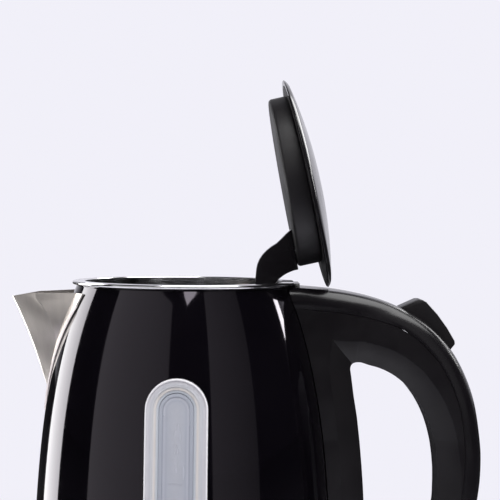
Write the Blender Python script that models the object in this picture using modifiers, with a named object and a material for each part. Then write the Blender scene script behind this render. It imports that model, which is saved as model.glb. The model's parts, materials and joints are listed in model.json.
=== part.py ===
"""Electric kettle: a cordless steel jug on a power base, with a sprung lid, a release button and a rocker switch.

Metres, +Z up. The jug's axis is Z, the spout points along -X and the handle along +X. The table is at z = 0.
Sizes named ..._DROP are measured down from the rim plane. The lid is modelled closed and its parent empty opens it.
"""
import math

import bmesh
import bpy
from mathutils import Matrix, Vector

# ---- driving dimensions ----
GAP = 0.0003                # clearance between neighbouring pieces
MM = 0.001

RIM_Z = 0.213               # rim plane above the table
RIM_R = 0.056               # outside radius of the rolled rim
RIM_BEAD = 0.0009           # radius of the rolled edge
MOUTH_R = 0.050             # open mouth inside the rim
RIM_THICK = 0.0018
RIM_LIP = 0.0045            # depth of the lip that locates the lid

STEEL_WALL = 0.0008
NECK_R = 0.0538             # jug body at its top edge, outside
BELLY_R = 0.0745            # jug body at its bottom edge, outside
BODY_DROP = 0.172           # jug body's bottom edge below the rim plane
SHOULDER_OUT = 0.0151       # the body curve's first handle, out from the neck
SHOULDER_DROP = 0.0401
BELLY_RISE = 0.0808         # the body curve's second handle, above the bottom edge

BASE_PROUD = 0.0005         # how far the base stands out past the skirt
BASE_TOP = 0.017
BASE_WALL = 0.0022
FOOT_R = 0.006
FOOT_PROUD = 0.001
FOOT_TALL = 0.0022
FOOT_CIRCLE_R = 0.056

SKIRT_PROUD = 0.0020        # how far the skirt stands out past the body
SKIRT_WALL = 0.0022
SKIRT_OVERLAP = 0.0025      # how far the skirt laps up the steel body

CONNECTOR_R = 0.013
CONNECTOR_TOP = 0.029
SOCKET_WALL = 0.0024

SPOUT_TIP_X = 0.08685       # tip of the spout from the jug axis
SPOUT_TIP_DROP = 0.0087
SPOUT_TOP_DROP = 0.0058     # top edge of the spout where it meets the body
SPOUT_HALF_W = 0.0237       # half width of the spout at the body
SPOUT_DROP = 0.057          # lowest point of the spout
SPOUT_BEND_X = 0.0775       # nose curve's middle handle
SPOUT_BEND_DROP = 0.0267
SPOUT_NOSE_R = 0.0038
SPOUT_CREASE_X = 0.0763     # crease between front facet and flank, at the top edge
SPOUT_CREASE_W = 0.0096
SPOUT_CREASE_DROP = 0.031   # where the crease runs out on the body
SPOUT_WALL = 0.0009
FLANGE_W = 0.0062
FLANGE_THICK = 0.0008

WINDOW_W = 0.0284
WINDOW_TOP_DROP = 0.0416
WINDOW_RISE = 0.0300        # bottom of the window, above the body's bottom edge
WINDOW_PROUD = 0.0008
PANE_W = 0.0158
SEAL_LAP = 0.0028
SEAL_THICK = 0.0012
CHANNEL_W = 0.0118
CHANNEL_WALL = 0.0010
CHANNEL_DEPTH = 0.0115
FLOAT_R = 0.0041
FLOAT_DROP = 0.0965         # where the float ball rests in the gauge

PIVOT_X = 0.060             # lid hinge axis from the jug axis
PIVOT_DROP = 0.0130
LID_OPEN_DEG = 77.2
LID_R = 0.0528
LID_EDGE = 0.0029           # thickness of the dome's edge
LID_CROWN = 0.0077          # crown above the flange
LID_SHELL = 0.0018
PLUG_R = 0.0423
PLUG_X = -0.0027
PLUG_DEPTH = 0.0105         # plug depth at its middle
PLUG_SLOPE = 0.0355         # the plug's floor falls towards the hinge
PLUG_WALL = 0.0020

ARM_HALF_W = 0.0075
HOOK_IN_R = 0.0193          # inside of the gooseneck, round the pivot
HOOK_OUT_R = 0.0268
HUB_R = 0.0065
PIN_R = 0.0015
CHEEK_THICK = 0.0035
CHEEK_GAP = 0.0005
SPRING_WIRE = 0.0005        # radius of the wire

HANDLE_WALL = 0.0030
HANDLE_CAVITY_HALF = 0.0085
HANDLE_ROUND = 0.0048
HANDLE_CHAMFER = 0.0058
BUTTON_X = 0.121
BUTTON_DROP = 0.0195
BUTTON_TILT = math.radians(39.2)
BUTTON_HALF_W = 0.0088
BUTTON_TRAVEL = 0.003
BUTTON_LEFT = -0.0148       # the button's ends and underside, along and out of its face
BUTTON_RIGHT = 0.0172
BUTTON_FLOOR = -0.0085
SPRING_SEAT = -0.0200
LATCH_TRAVEL = 0.002
LATCH_HALF_W = 0.0040
LATCH_TALL = 0.0040
LATCH_DROP = 0.0005         # the latch's top, below the hinge axis
HOUSING_BACK = 0.0712       # the hinge housing's back face, from the jug's axis
HOUSING_TOP_DROP = 0.0047
STEAM_TUBE_R = 0.0034
STEAM_TUBE_WALL = 0.0009
STEAM_OUT = 0.0050          # the tube's lower end, out from the skirt
STEAM_CLEAR = 0.0005        # least gap between the tube and the jug's body
STEAM_IN_HOUSE = 0.0067     # how far the tube reaches into the switch's housing

LEVER_OUT = 0.0120          # switch lever's pivot, out from the skirt
LEVER_BELOW = 0.0080        # below the body's bottom edge
LEVER_HALF_W = 0.0105
LEVER_AXLE_R = 0.0015
HOUSE_HALF_W = 0.0140       # housing of the switch, behind the skirt
HOUSE_WALL = 0.0020
HOUSE_REACH = 0.0075        # the housing's back face, out from the lever's pivot
SCREW_R = 0.0012
SCREW_HEAD_R = 0.0030
HANDLE_SCREW_OUT = 0.0120
HANDLE_SCREW_Y = 0.0085
HANDLE_RISE = 0.0050        # underside of the handle, above the body's bottom edge
HANDLE_DRAWN = 0.1670       # drop of the handle's underside that its outlines are drawn for
HANDLE_FIXED = 0.0600       # above this drop the outlines are kept as drawn

PLATE_RISE = 0.0045         # underside of the heater plate, above the body's bottom edge
PLATE_THICK = 0.0012
PLATE_SEAL_W = 0.0030
DIFFUSER_R = 0.052
DIFFUSER_THICK = 0.0024
ELEMENT_RING_R = 0.040
ELEMENT_R = 0.0032

SEGMENTS = 48
FINE_SEGMENTS = 28

# ---- sizes that follow from those above ----
SKIRT_R = BELLY_R + SKIRT_PROUD
BASE_R = SKIRT_R + BASE_PROUD
LEVER_X = SKIRT_R + LEVER_OUT
HANDLE_SCREW_X = SKIRT_R + HANDLE_SCREW_OUT
STEAM_X = SKIRT_R + STEAM_OUT
HANDLE_BOTTOM_DROP = BODY_DROP - HANDLE_RISE
WINDOW_BOTTOM_DROP = BODY_DROP - WINDOW_RISE
HOUSE_TOP = RIM_Z - HANDLE_BOTTOM_DROP - GAP
PIVOT = Vector((PIVOT_X, 0.0, RIM_Z - PIVOT_DROP))
BODY_TOP_DROP = RIM_THICK + RIM_BEAD * 0.2 + GAP
BODY_BOTTOM_Z = RIM_Z - BODY_DROP
PLATE_Z = BODY_BOTTOM_Z + PLATE_RISE
LEVER_Z = BODY_BOTTOM_Z - LEVER_BELOW
CHEEK_IN = ARM_HALF_W + CHEEK_GAP
CHEEK_OUT = CHEEK_IN + CHEEK_THICK
SLOT_HALF = CHEEK_OUT + GAP
SLOT_DROP = 0.0286

parts = bpy.data.collections.new("electric_kettle")
cutters = bpy.data.collections.new("cutters")


# ---- helpers ----
def clear_scene():
    for thing in list(bpy.data.objects):
        bpy.data.objects.remove(thing, do_unlink=True)
    bpy.context.scene.collection.children.link(parts)
    bpy.context.scene.collection.children.link(cutters)


def material(name, color, roughness, metallic=0.0, alpha=1.0):
    made = bpy.data.materials.new(name)
    made.use_nodes = True
    shader = made.node_tree.nodes["Principled BSDF"]
    shader.inputs["Base Color"].default_value = (*color, 1.0)
    shader.inputs["Roughness"].default_value = roughness
    shader.inputs["Metallic"].default_value = metallic
    shader.inputs["Alpha"].default_value = alpha
    return made


def add_object(name, mesh, is_cutter=False):
    made = bpy.data.objects.new(name, mesh)
    (cutters if is_cutter else parts).objects.link(made)
    if is_cutter:
        made.hide_render = True
        made.display_type = "WIRE"
    return made


def finish(thing, color, roughness, metallic=0.0, alpha=1.0, smooth=True):
    thing.data.materials.append(material(thing.name, color, roughness, metallic, alpha))
    if smooth:
        thing.data.shade_smooth()
        thing.data.set_sharp_from_angle(angle=math.radians(35))
    return thing


def boolean(thing, other, operation="DIFFERENCE", solver="EXACT"):
    step = thing.modifiers.new(operation.lower(), "BOOLEAN")
    step.operation = operation
    step.solver = solver
    step.object = other
    return thing


def flat(thing, name, is_cutter=False):
    """A plain mesh object of what the modifiers or the curve make, in place of the thing itself."""
    bpy.context.view_layer.update()
    graph = bpy.context.evaluated_depsgraph_get()
    mesh = bpy.data.meshes.new_from_object(thing.evaluated_get(graph))
    mesh.transform(thing.matrix_world)
    work = bmesh.new()
    work.from_mesh(mesh)
    bmesh.ops.remove_doubles(work, verts=work.verts, dist=1e-6)
    bmesh.ops.recalc_face_normals(work, faces=work.faces)
    work.to_mesh(mesh)
    work.free()
    mesh.materials.clear()
    bpy.data.objects.remove(thing, do_unlink=True)
    return add_object(name, mesh, is_cutter)


def turned(name, profile, closed=True, segments=SEGMENTS, is_cutter=False):
    """A profile of (radius, z) turned about Z. It runs down its outer side."""
    work = bmesh.new()
    points = [work.verts.new((radius, 0.0, z)) for radius, z in profile]
    for first, second in zip(points, points[1:]):
        work.edges.new((first, second))
    if closed:
        work.edges.new((points[-1], points[0]))
    mesh = bpy.data.meshes.new(name)
    work.to_mesh(mesh)
    work.free()
    thing = add_object(name, mesh, is_cutter)
    screw = thing.modifiers.new("turn", "SCREW")
    screw.axis = "Z"
    screw.angle = 2.0 * math.pi
    screw.steps = segments
    screw.render_steps = segments
    screw.use_merge_vertices = True
    screw.merge_threshold = 1e-5
    return thing


def ring(name, outer, inner, top, bottom, segments=SEGMENTS, is_cutter=False):
    profile = [(outer, top), (outer, bottom), (inner, bottom), (inner, top)]
    return turned(name, profile, True, segments, is_cutter)


def disc(name, radius, top, bottom, segments=FINE_SEGMENTS, is_cutter=False):
    profile = [(0.0, top), (radius, top), (radius, bottom), (0.0, bottom)]
    return turned(name, profile, False, segments, is_cutter)


def moved(thing, x=0.0, y=0.0, z=0.0):
    thing.location = (x, y, z)
    return thing


def box(name, low, high, is_cutter=False):
    work = bmesh.new()
    bmesh.ops.create_cube(work, size=1.0)
    size = Vector(high) - Vector(low)
    middle = (Vector(high) + Vector(low)) / 2
    place = Matrix.Translation(middle) @ Matrix.Diagonal((*size, 1.0))
    bmesh.ops.transform(work, matrix=place, verts=work.verts)
    mesh = bpy.data.meshes.new(name)
    work.to_mesh(mesh)
    work.free()
    return add_object(name, mesh, is_cutter)


def rod(name, start, end, radius, segments=FINE_SEGMENTS, is_cutter=False):
    """A round bar between two points."""
    start, end = Vector(start), Vector(end)
    along = end - start
    work = bmesh.new()
    turn = along.to_track_quat("Z", "Y").to_matrix().to_4x4()
    place = Matrix.Translation((start + end) / 2) @ turn
    bmesh.ops.create_cone(work, cap_ends=True, segments=segments, radius1=radius, radius2=radius,
                          depth=along.length, matrix=place)
    mesh = bpy.data.meshes.new(name)
    work.to_mesh(mesh)
    work.free()
    return add_object(name, mesh, is_cutter)


def outline_curve(name, outlines, half_thickness, resolution=6):
    """Flat filled outlines. Each is a kind, POLY or SMOOTH, and its points; one inside the first is a hole."""
    curve = bpy.data.curves.new(name, "CURVE")
    curve.dimensions = "2D"
    curve.fill_mode = "BOTH"
    curve.extrude = half_thickness
    curve.resolution_u = resolution
    for kind, points in outlines:
        spline = curve.splines.new("BEZIER")
        spline.bezier_points.add(len(points) - 1)
        spline.use_cyclic_u = True
        for knot, place in zip(spline.bezier_points, points):
            knot.co = (place[0], place[1], 0.0)
            corner = kind == "POLY" or len(place) > 2
            knot.handle_left_type = "VECTOR" if corner else "AUTO"
            knot.handle_right_type = "VECTOR" if corner else "AUTO"
    return curve


PLANES = {
    "XZ": Matrix.Rotation(math.radians(90), 4, "X"),
    "YZ": Matrix.Rotation(math.radians(90), 4, "Z") @ Matrix.Rotation(math.radians(90), 4, "X"),
    "XY": Matrix.Identity(4),
}


def slab(name, outlines, low, high, plane="XZ", resolution=6, is_cutter=False):
    """Flat outlines in a plane, thick from low to high along the plane's normal (Y, X or Z)."""
    if isinstance(outlines[0][0], float):
        outlines = [("POLY", outlines)]
    thing = bpy.data.objects.new(name, outline_curve(name, outlines, (high - low) / 2, resolution))
    parts.objects.link(thing)
    middle = (high + low) / 2
    shift = {"XZ": (0, middle, 0), "YZ": (middle, 0, 0), "XY": (0, 0, middle)}[plane]
    thing.matrix_world = Matrix.Translation(shift) @ PLANES[plane]
    return flat(thing, name, is_cutter)


def tube(name, points, radius, sides=2, is_cutter=False, caps=True, resolution=6):
    """A round wire or tube along a smooth curve through the points."""
    curve = bpy.data.curves.new(name, "CURVE")
    curve.dimensions = "3D"
    curve.bevel_depth = radius
    curve.bevel_resolution = sides
    curve.use_fill_caps = caps
    curve.resolution_u = resolution
    spline = curve.splines.new("BEZIER")
    spline.bezier_points.add(len(points) - 1)
    for knot, place in zip(spline.bezier_points, points):
        knot.co = place
        knot.handle_left_type = "AUTO"
        knot.handle_right_type = "AUTO"
    thing = bpy.data.objects.new(name, curve)
    parts.objects.link(thing)
    return flat(thing, name, is_cutter)


def coil(name, centre, axis, radius, wire, turns, length, start_deg=0.0, per_turn=9):
    """A wire coil about an axis through its centre."""
    curve = bpy.data.curves.new(name, "CURVE")
    curve.dimensions = "3D"
    curve.bevel_depth = wire
    curve.bevel_resolution = 1
    curve.use_fill_caps = True
    spline = curve.splines.new("POLY")
    count = int(turns * per_turn) + 1
    spline.points.add(count - 1)
    turn = Vector(axis).to_track_quat("Z", "Y").to_matrix()
    for index, point in enumerate(spline.points):
        angle = math.radians(start_deg) + 2.0 * math.pi * index / per_turn
        along = length * (index / (count - 1) - 0.5)
        place = Vector(centre) + turn @ Vector((radius * math.cos(angle), radius * math.sin(angle), along))
        point.co = (*place, 1.0)
    thing = bpy.data.objects.new(name, curve)
    parts.objects.link(thing)
    return flat(thing, name)


def empty(name, place):
    made = bpy.data.objects.new(name, None)
    parts.objects.link(made)
    made.location = place
    return made


def with_cutters(things):
    """The things and every object that their Booleans use."""
    found = list(things)
    for thing in found:
        for step in thing.modifiers:
            if step.type == "BOOLEAN" and step.object not in found:
                found.append(step.object)
    return found


def hang(things, parent, rest_turn_y=0.0):
    """Parent things, modelled in world coordinates, and their cutters to an empty that may then turn them."""
    bpy.context.view_layer.update()
    for thing in with_cutters(things):
        thing.parent = parent
        thing.matrix_parent_inverse = Matrix.Translation(-parent.location)
    parent.rotation_euler = (0.0, rest_turn_y, 0.0)


# ---- the jug's outline ----
def body_curve(share):
    """Point (radius, drop) on the jug's outer curve, share 0 at the top to 1 at the bottom."""
    knots = [(NECK_R, BODY_TOP_DROP), (NECK_R + SHOULDER_OUT, SHOULDER_DROP),
             (BELLY_R, BODY_DROP - BELLY_RISE), (BELLY_R, BODY_DROP)]
    weights = [(1 - share) ** 3, 3 * share * (1 - share) ** 2, 3 * share ** 2 * (1 - share), share ** 3]
    radius = sum(weight * knot[0] for weight, knot in zip(weights, knots))
    drop = sum(weight * knot[1] for weight, knot in zip(weights, knots))
    return radius, drop


def body_radius(drop):
    """The jug's outer radius at a drop below the rim plane."""
    low, high = 0.0, 1.0
    for _ in range(40):
        middle = (low + high) / 2
        if body_curve(middle)[1] < drop:
            low = middle
        else:
            high = middle
    return body_curve(low)[0]


def body_layer(name, outward, inward, top_drop, bottom_drop, steps=9, segments=SEGMENTS, is_cutter=False):
    """A turned layer that follows the jug's curve, from inward to outward of its outer surface."""
    drops = [top_drop + (bottom_drop - top_drop) * index / steps for index in range(steps + 1)]
    outside = [(body_radius(drop) + outward, RIM_Z - drop) for drop in drops]
    inside = [(body_radius(drop) + inward, RIM_Z - drop) for drop in reversed(drops)]
    return turned(name, outside + inside, True, segments, is_cutter)


def body_plug(name, outward, is_cutter=True):
    """The whole inside of the jug's outer surface, as one solid, grown by outward."""
    shares = [index / 12 for index in range(13)]
    wall = [(body_curve(share)[0] + outward, RIM_Z - body_curve(share)[1]) for share in shares]
    top = [(0.0, RIM_Z + 0.03), (wall[0][0], RIM_Z + 0.03)]
    bottom = [(wall[-1][0], BODY_BOTTOM_Z - 0.03), (0.0, BODY_BOTTOM_Z - 0.03)]
    return turned(name, top + wall + bottom, False, SEGMENTS, is_cutter)


def stadium(half_width, top_drop, bottom_drop, steps=8):
    """A long slot outline (x, z) with round ends."""
    points = []
    for centre_drop, first in ((top_drop + half_width, 0.0), (bottom_drop - half_width, math.pi)):
        for index in range(steps + 1):
            angle = first + math.pi * index / steps
            points.append((half_width * math.cos(angle), RIM_Z - centre_drop + half_width * math.sin(angle)))
    return points


# ---- power base ----
def base_parts():
    under = FOOT_PROUD
    shell_wall = BASE_R - BASE_WALL
    shell = turned("base_shell", [
        (CONNECTOR_R + 0.0055, BASE_TOP), (BASE_R - 0.0075, BASE_TOP), (BASE_R - 0.0025, BASE_TOP - 0.0025),
        (BASE_R, BASE_TOP - 0.009), (BASE_R, under + GAP), (shell_wall, under + GAP),
        (shell_wall, BASE_TOP - 0.0085), (BASE_R - 0.0085, BASE_TOP - BASE_WALL),
        (CONNECTOR_R + 0.0055, BASE_TOP - BASE_WALL)])
    gland_z = 0.0085
    gland_hole = rod("gland_hole", (0, BASE_R - 0.02, gland_z), (0, BASE_R + 0.02, gland_z), 0.0048, 24, True)
    boolean(shell, gland_hole)
    posts = []
    for index in range(3):
        angle = math.radians(30 + 120 * index)
        posts.append((0.047 * math.cos(angle), 0.047 * math.sin(angle)))
    for index, (x, y) in enumerate(posts):
        post = moved(ring(f"base_post_{index + 1}", 0.0042, 0.0014, BASE_TOP - BASE_WALL + 0.0006,
                          under + 0.0031 + GAP, 16, True), x, y)
        boolean(shell, post, "UNION")
    finish(shell, (0.012, 0.012, 0.013), 0.35)

    cover_r = shell_wall - GAP
    cover = disc("base_bottom_cover", cover_r, under + 0.0028, under, SEGMENTS)
    for index in range(4):
        angle = math.radians(45 + 90 * index)
        x, y = FOOT_CIRCLE_R * math.cos(angle), FOOT_CIRCLE_R * math.sin(angle)
        seat = moved(disc(f"foot_seat_{index + 1}", FOOT_R + GAP, FOOT_TALL + GAP, -0.01, 16, True), x, y)
        boolean(cover, seat)
        foot = moved(disc(f"base_foot_{index + 1}", FOOT_R, FOOT_TALL, 0.0, 16), x, y)
        finish(foot, (0.03, 0.03, 0.032), 0.8)
    for index, (x, y) in enumerate(posts):
        hole = moved(disc(f"base_screw_hole_{index + 1}", 0.0034, under + 0.0018, -0.01, 16, True), x, y)
        boolean(cover, hole)
        through = moved(disc(f"base_screw_through_{index + 1}", 0.0018, 0.01, -0.01, 16, True), x, y)
        boolean(cover, through)
        screw = turned(f"base_screw_{index + 1}", [
            (0.0, 0.0120), (0.0011, 0.0115), (0.0011, under + 0.0008), (0.0030, under + 0.0008),
            (0.0030, under - 0.0002), (0.0, under - 0.0002)], False, 8)
        moved(screw, x, y, 0.0007)
        finish(screw, (0.55, 0.55, 0.56), 0.3, 1.0)
    finish(cover, (0.015, 0.015, 0.016), 0.5)

    tower = turned("base_connector", [
        (0.0, CONNECTOR_TOP - 0.011), (0.0016, CONNECTOR_TOP - 0.011), (0.0016, CONNECTOR_TOP),
        (0.0056, CONNECTOR_TOP), (0.0056, CONNECTOR_TOP - 0.010), (0.0104, CONNECTOR_TOP - 0.010),
        (0.0104, CONNECTOR_TOP), (CONNECTOR_R - 0.0008, CONNECTOR_TOP), (CONNECTOR_R, CONNECTOR_TOP - 0.0008),
        (CONNECTOR_R, BASE_TOP - BASE_WALL - GAP), (CONNECTOR_R + 0.0085, BASE_TOP - BASE_WALL - GAP),
        (CONNECTOR_R + 0.0085, BASE_TOP - BASE_WALL - 0.0022),
        (CONNECTOR_R - 0.001, BASE_TOP - BASE_WALL - 0.0022),
        (CONNECTOR_R - 0.001, under + 0.0028 + GAP), (0.0, under + 0.0028 + GAP)], False, 24)
    finish(tower, (0.02, 0.02, 0.02), 0.4)

    gland = turned("cord_gland", [(0.0062, 0.0013), (0.0062, 0.0), (0.0045, 0.0), (0.0045, -0.0040),
                                  (0.0029, -0.0040), (0.0029, 0.0013)], True, 16)
    gland.location = (0, BASE_R + GAP, gland_z)
    gland.rotation_euler = (math.radians(-90), 0, 0)
    finish(gland, (0.02, 0.02, 0.02), 0.7)


# ---- jug: steelwork ----
def jug_body():
    body = body_layer("jug_body", 0.0, -STEEL_WALL, BODY_TOP_DROP, BODY_DROP, 8)
    mouth = slab("spout_mouth", spout_mouth_outline(0.0), -0.1, -0.03, "YZ", is_cutter=True)
    boolean(body, mouth)
    window = slab("window_hole", stadium(WINDOW_W / 2 + GAP, WINDOW_TOP_DROP - GAP, WINDOW_BOTTOM_DROP + GAP),
                  -0.1, -0.03, "XZ", is_cutter=True)
    boolean(body, window)
    slot = box("hinge_slot", (0.03, -SLOT_HALF, RIM_Z - SLOT_DROP), (0.09, SLOT_HALF, RIM_Z + 0.01), True)
    boolean(body, slot)
    return finish(body, (0.01, 0.01, 0.011), 0.12, 0.3)


def rim_ring():
    top = RIM_Z - 0.0002
    bead = RIM_R - RIM_BEAD
    profile = [(MOUTH_R + 0.0003, top), (bead, top)]
    for step in range(1, 6):
        angle = math.radians(90 - 36 * step)
        profile.append((bead + RIM_BEAD * math.cos(angle), top - RIM_BEAD + RIM_BEAD * math.sin(angle)))
    low = top - 2 * RIM_BEAD
    profile += [(MOUTH_R + 0.0012, low), (MOUTH_R + 0.0012, RIM_Z - RIM_LIP), (MOUTH_R, RIM_Z - RIM_LIP),
                (MOUTH_R, top - 0.0004)]
    rim = turned("rim_ring", profile)
    notch = box("rim_notch", (0.03, -SLOT_HALF, RIM_Z - 0.02), (0.09, SLOT_HALF, RIM_Z + 0.02), True)
    boolean(rim, notch)
    return finish(rim, (0.75, 0.75, 0.76), 0.12, 1.0)


def spout_nose_x(drop):
    """How far the nose ridge stands out at a drop: a quadratic curve from tip to the lowest point."""
    low, high = 0.0, 1.0
    end_x = body_radius(SPOUT_DROP)
    for _ in range(40):
        middle = (low + high) / 2
        here = ((1 - middle) ** 2 * SPOUT_TIP_DROP + 2 * middle * (1 - middle) * SPOUT_BEND_DROP
                + middle ** 2 * SPOUT_DROP)
        if here < drop:
            low = middle
        else:
            high = middle
    if drop < SPOUT_TIP_DROP:
        return SPOUT_TIP_X + (SPOUT_TIP_DROP - drop) * 0.52
    return (1 - low) ** 2 * SPOUT_TIP_X + 2 * low * (1 - low) * SPOUT_BEND_X + low ** 2 * end_x


def spout_half_width(drop):
    share = (SPOUT_DROP - drop) / (SPOUT_DROP - SPOUT_TOP_DROP)
    return SPOUT_HALF_W * min(1.0, max(0.0, share))


def spout_section(drop, inset):
    """Half of the spout's outline at a drop, as (x out, y) from the nose to well inside the jug."""
    wide = max(0.0012, spout_half_width(drop) - inset * 1.15)
    nose = spout_nose_x(drop) - inset * 1.35
    round_r = min(SPOUT_NOSE_R - inset * 0.7, wide * 0.35)
    root = math.sqrt(body_radius(drop) ** 2 - wide ** 2)
    root = min(root, nose - round_r)
    fade = min(1.0, max(0.0, (drop - SPOUT_TOP_DROP) / (SPOUT_CREASE_DROP - SPOUT_TOP_DROP)))
    crease_x = SPOUT_CREASE_X * (1 - fade) + (root + 0.0005) * fade - inset * 0.6 * (1 - fade)
    crease_x = min(crease_x, nose - round_r * 1.05)
    crease_y = (SPOUT_CREASE_W - inset * 1.1) * (1 - fade) + wide * 0.98 * fade
    half = [(nose - round_r + round_r * math.cos(math.radians(angle)), round_r * math.sin(math.radians(angle)))
            for angle in (0, 30, 58)]
    half.append((crease_x, crease_y))
    half.append((root, wide))
    half.append((0.035, wide))
    return half


def spout_top_z(x_out, drop):
    """The top edge droops towards the tip, as a pouring lip."""
    share = min(1.0, max(0.0, (x_out - SPOUT_CREASE_X) / (SPOUT_TIP_X - SPOUT_CREASE_X)))
    slope = min(1.0, max(0.0, (x_out - 0.0512) / (SPOUT_CREASE_X - 0.0512)))
    return RIM_Z - (drop + 0.0008 * slope + (SPOUT_TIP_DROP - drop - 0.0008) * share)


def spout_solid(name, inset, top_z, bottom_drop, is_cutter):
    """The spout's whole volume as a loft of its sections. top_z None keeps the drooping lip."""
    first = SPOUT_TOP_DROP
    count = 9
    work = bmesh.new()
    loops = []
    for index in range(count):
        drop = first + (bottom_drop - first) * index / (count - 1)
        half = spout_section(max(drop, SPOUT_TIP_DROP) if index == 0 else drop, inset)
        whole = [(x, -y) for x, y in reversed(half[1:])] + half
        loop = []
        for x, y in whole:
            z = RIM_Z - drop
            if index == 0:
                z = top_z if top_z is not None else spout_top_z(x, drop)
            loop.append(work.verts.new((-x, y, z)))
        loops.append(loop)
    for upper, lower in zip(loops, loops[1:]):
        for index in range(len(upper)):
            after = (index + 1) % len(upper)
            work.faces.new((upper[index], upper[after], lower[after], lower[index]))
    work.faces.new(loops[0])
    work.faces.new(list(reversed(loops[-1])))
    bmesh.ops.recalc_face_normals(work, faces=work.faces)
    mesh = bpy.data.meshes.new(name)
    work.to_mesh(mesh)
    work.free()
    return add_object(name, mesh, is_cutter)


def spout_mouth_outline(grow):
    """The V opening through the jug's wall behind the spout, as (y, z)."""
    top = RIM_Z - SPOUT_TOP_DROP - 0.0018 + grow
    half = SPOUT_HALF_W - 0.0035 + grow
    low, low_half = RIM_Z - 0.0485 - grow * 2, 0.0015 + grow
    return [(-half, top), (-low_half, low), (low_half, low), (half, top)]


def spout():
    shell = spout_solid("spout", 0.0, None, SPOUT_DROP - 0.0008, False)
    flange_half = SPOUT_HALF_W + FLANGE_W
    flange = body_layer("flange_layer", GAP + FLANGE_THICK, -0.002, SPOUT_TOP_DROP - 0.0002, SPOUT_DROP + 0.014,
                        8, SEGMENTS, True)
    flange_v = slab("flange_v", [
        (-flange_half, RIM_Z - SPOUT_TOP_DROP), (-flange_half + 0.0012, RIM_Z - SPOUT_TOP_DROP - 0.006),
        (-0.0022, RIM_Z - SPOUT_DROP - 0.0085), (0.0022, RIM_Z - SPOUT_DROP - 0.0085),
        (flange_half - 0.0012, RIM_Z - SPOUT_TOP_DROP - 0.006),
        (flange_half, RIM_Z - SPOUT_TOP_DROP)], -0.1, -0.03, "YZ", is_cutter=True)
    boolean(flange_v, flange, "INTERSECT")
    boolean(shell, flange_v, "UNION")
    channel = spout_solid("spout_channel", SPOUT_WALL, RIM_Z + 0.02, SPOUT_DROP - 0.0055, True)
    boolean(shell, channel)
    jug = body_plug("spout_seat", GAP)
    boolean(shell, jug)
    return finish(shell, (0.62, 0.60, 0.57), 0.35, 1.0)


def spout_filter():
    outward = -STEEL_WALL - GAP
    screen = body_layer("filter_layer", outward, outward - 0.0016, RIM_LIP + 0.0012, 0.056, 5)
    screen = flat(screen, "spout_filter")
    keep = slab("filter_outline", spout_mouth_outline(0.0028), -0.1, -0.03, "YZ", is_cutter=True)
    boolean(screen, keep, "INTERSECT")
    bars = 9
    pitch = 2 * (SPOUT_HALF_W - 0.0045) / bars
    for index in range(bars):
        middle = pitch * (index - (bars - 1) / 2)
        reach = 0.0365 * (1 - abs(middle) / (SPOUT_HALF_W - 0.002))
        top = RIM_Z - SPOUT_TOP_DROP - 0.0035
        slit = box(f"filter_slit_{index + 1}", (-0.09, middle - pitch * 0.32, top - reach),
                   (-0.035, middle + pitch * 0.32, top), True)
        boolean(screen, slit)
    return finish(screen, (0.55, 0.55, 0.56), 0.35, 1.0)


# ---- water window ----
def window_parts():
    top, bottom = WINDOW_TOP_DROP, WINDOW_BOTTOM_DROP
    margin = 0.006
    half, pane_half = WINDOW_W / 2, PANE_W / 2
    rim_w = half - pane_half

    def layer(name, outward, inward):
        return body_layer(name, outward, inward, top - margin, bottom + margin, 9, SEGMENTS, True)

    def slot(name, half_width, high, low, is_cutter=True):
        return slab(name, stadium(half_width, high, low), -0.1, -0.03, "XZ", is_cutter=is_cutter)

    frame = slot("window_frame", half, top, bottom, False)
    boolean(frame, layer("frame_layer", WINDOW_PROUD, -STEEL_WALL - 0.0012), "INTERSECT")
    boolean(frame, slot("frame_inside", pane_half, top + rim_w, bottom - rim_w))
    finish(frame, (0.75, 0.76, 0.78), 0.35, 0.0, 0.85)

    pane_edge = pane_half - GAP
    pane = slot("window_pane", pane_edge, top + rim_w + GAP, bottom - rim_w - GAP, False)
    boolean(pane, layer("pane_layer", -0.0004, -STEEL_WALL - 0.0012), "INTERSECT")
    finish(pane, (0.6, 0.64, 0.7), 0.15, 0.0, 0.5)

    seal = slot("window_seal", half + SEAL_LAP, top - SEAL_LAP, bottom + SEAL_LAP, False)
    seal_out = -STEEL_WALL - GAP
    boolean(seal, layer("seal_layer", seal_out, seal_out - SEAL_THICK), "INTERSECT")
    boolean(seal, slot("seal_inside", half + GAP, top - GAP, bottom + GAP))
    finish(seal, (0.6, 0.6, 0.6), 0.6)

    channel_out = -STEEL_WALL - 0.0012 - GAP
    channel_half = CHANNEL_W / 2
    end = rim_w + (pane_half - channel_half)
    channel = slot("gauge_channel", channel_half, top + end, bottom - end, False)
    boolean(channel, layer("channel_layer", channel_out, channel_out - CHANNEL_DEPTH), "INTERSECT")
    ends = end + CHANNEL_WALL
    hollow = slot("channel_hollow", channel_half - CHANNEL_WALL, top + ends, bottom - ends)
    boolean(hollow, layer("hollow_layer", 0.002, channel_out - CHANNEL_DEPTH + CHANNEL_WALL), "INTERSECT")
    boolean(channel, hollow)
    finish(channel, (0.6, 0.62, 0.65), 0.2, 0.0, 0.5)

    ball_y = -(body_radius(FLOAT_DROP) + channel_out - CHANNEL_DEPTH / 2 + 0.0003)
    work = bmesh.new()
    bmesh.ops.create_uvsphere(work, u_segments=16, v_segments=10, radius=FLOAT_R)
    mesh = bpy.data.meshes.new("level_float")
    work.to_mesh(mesh)
    work.free()
    ball = add_object("level_float", mesh)
    ball.location = (0, ball_y, RIM_Z - FLOAT_DROP)
    return finish(ball, (0.05, 0.05, 0.06), 0.4)


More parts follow.
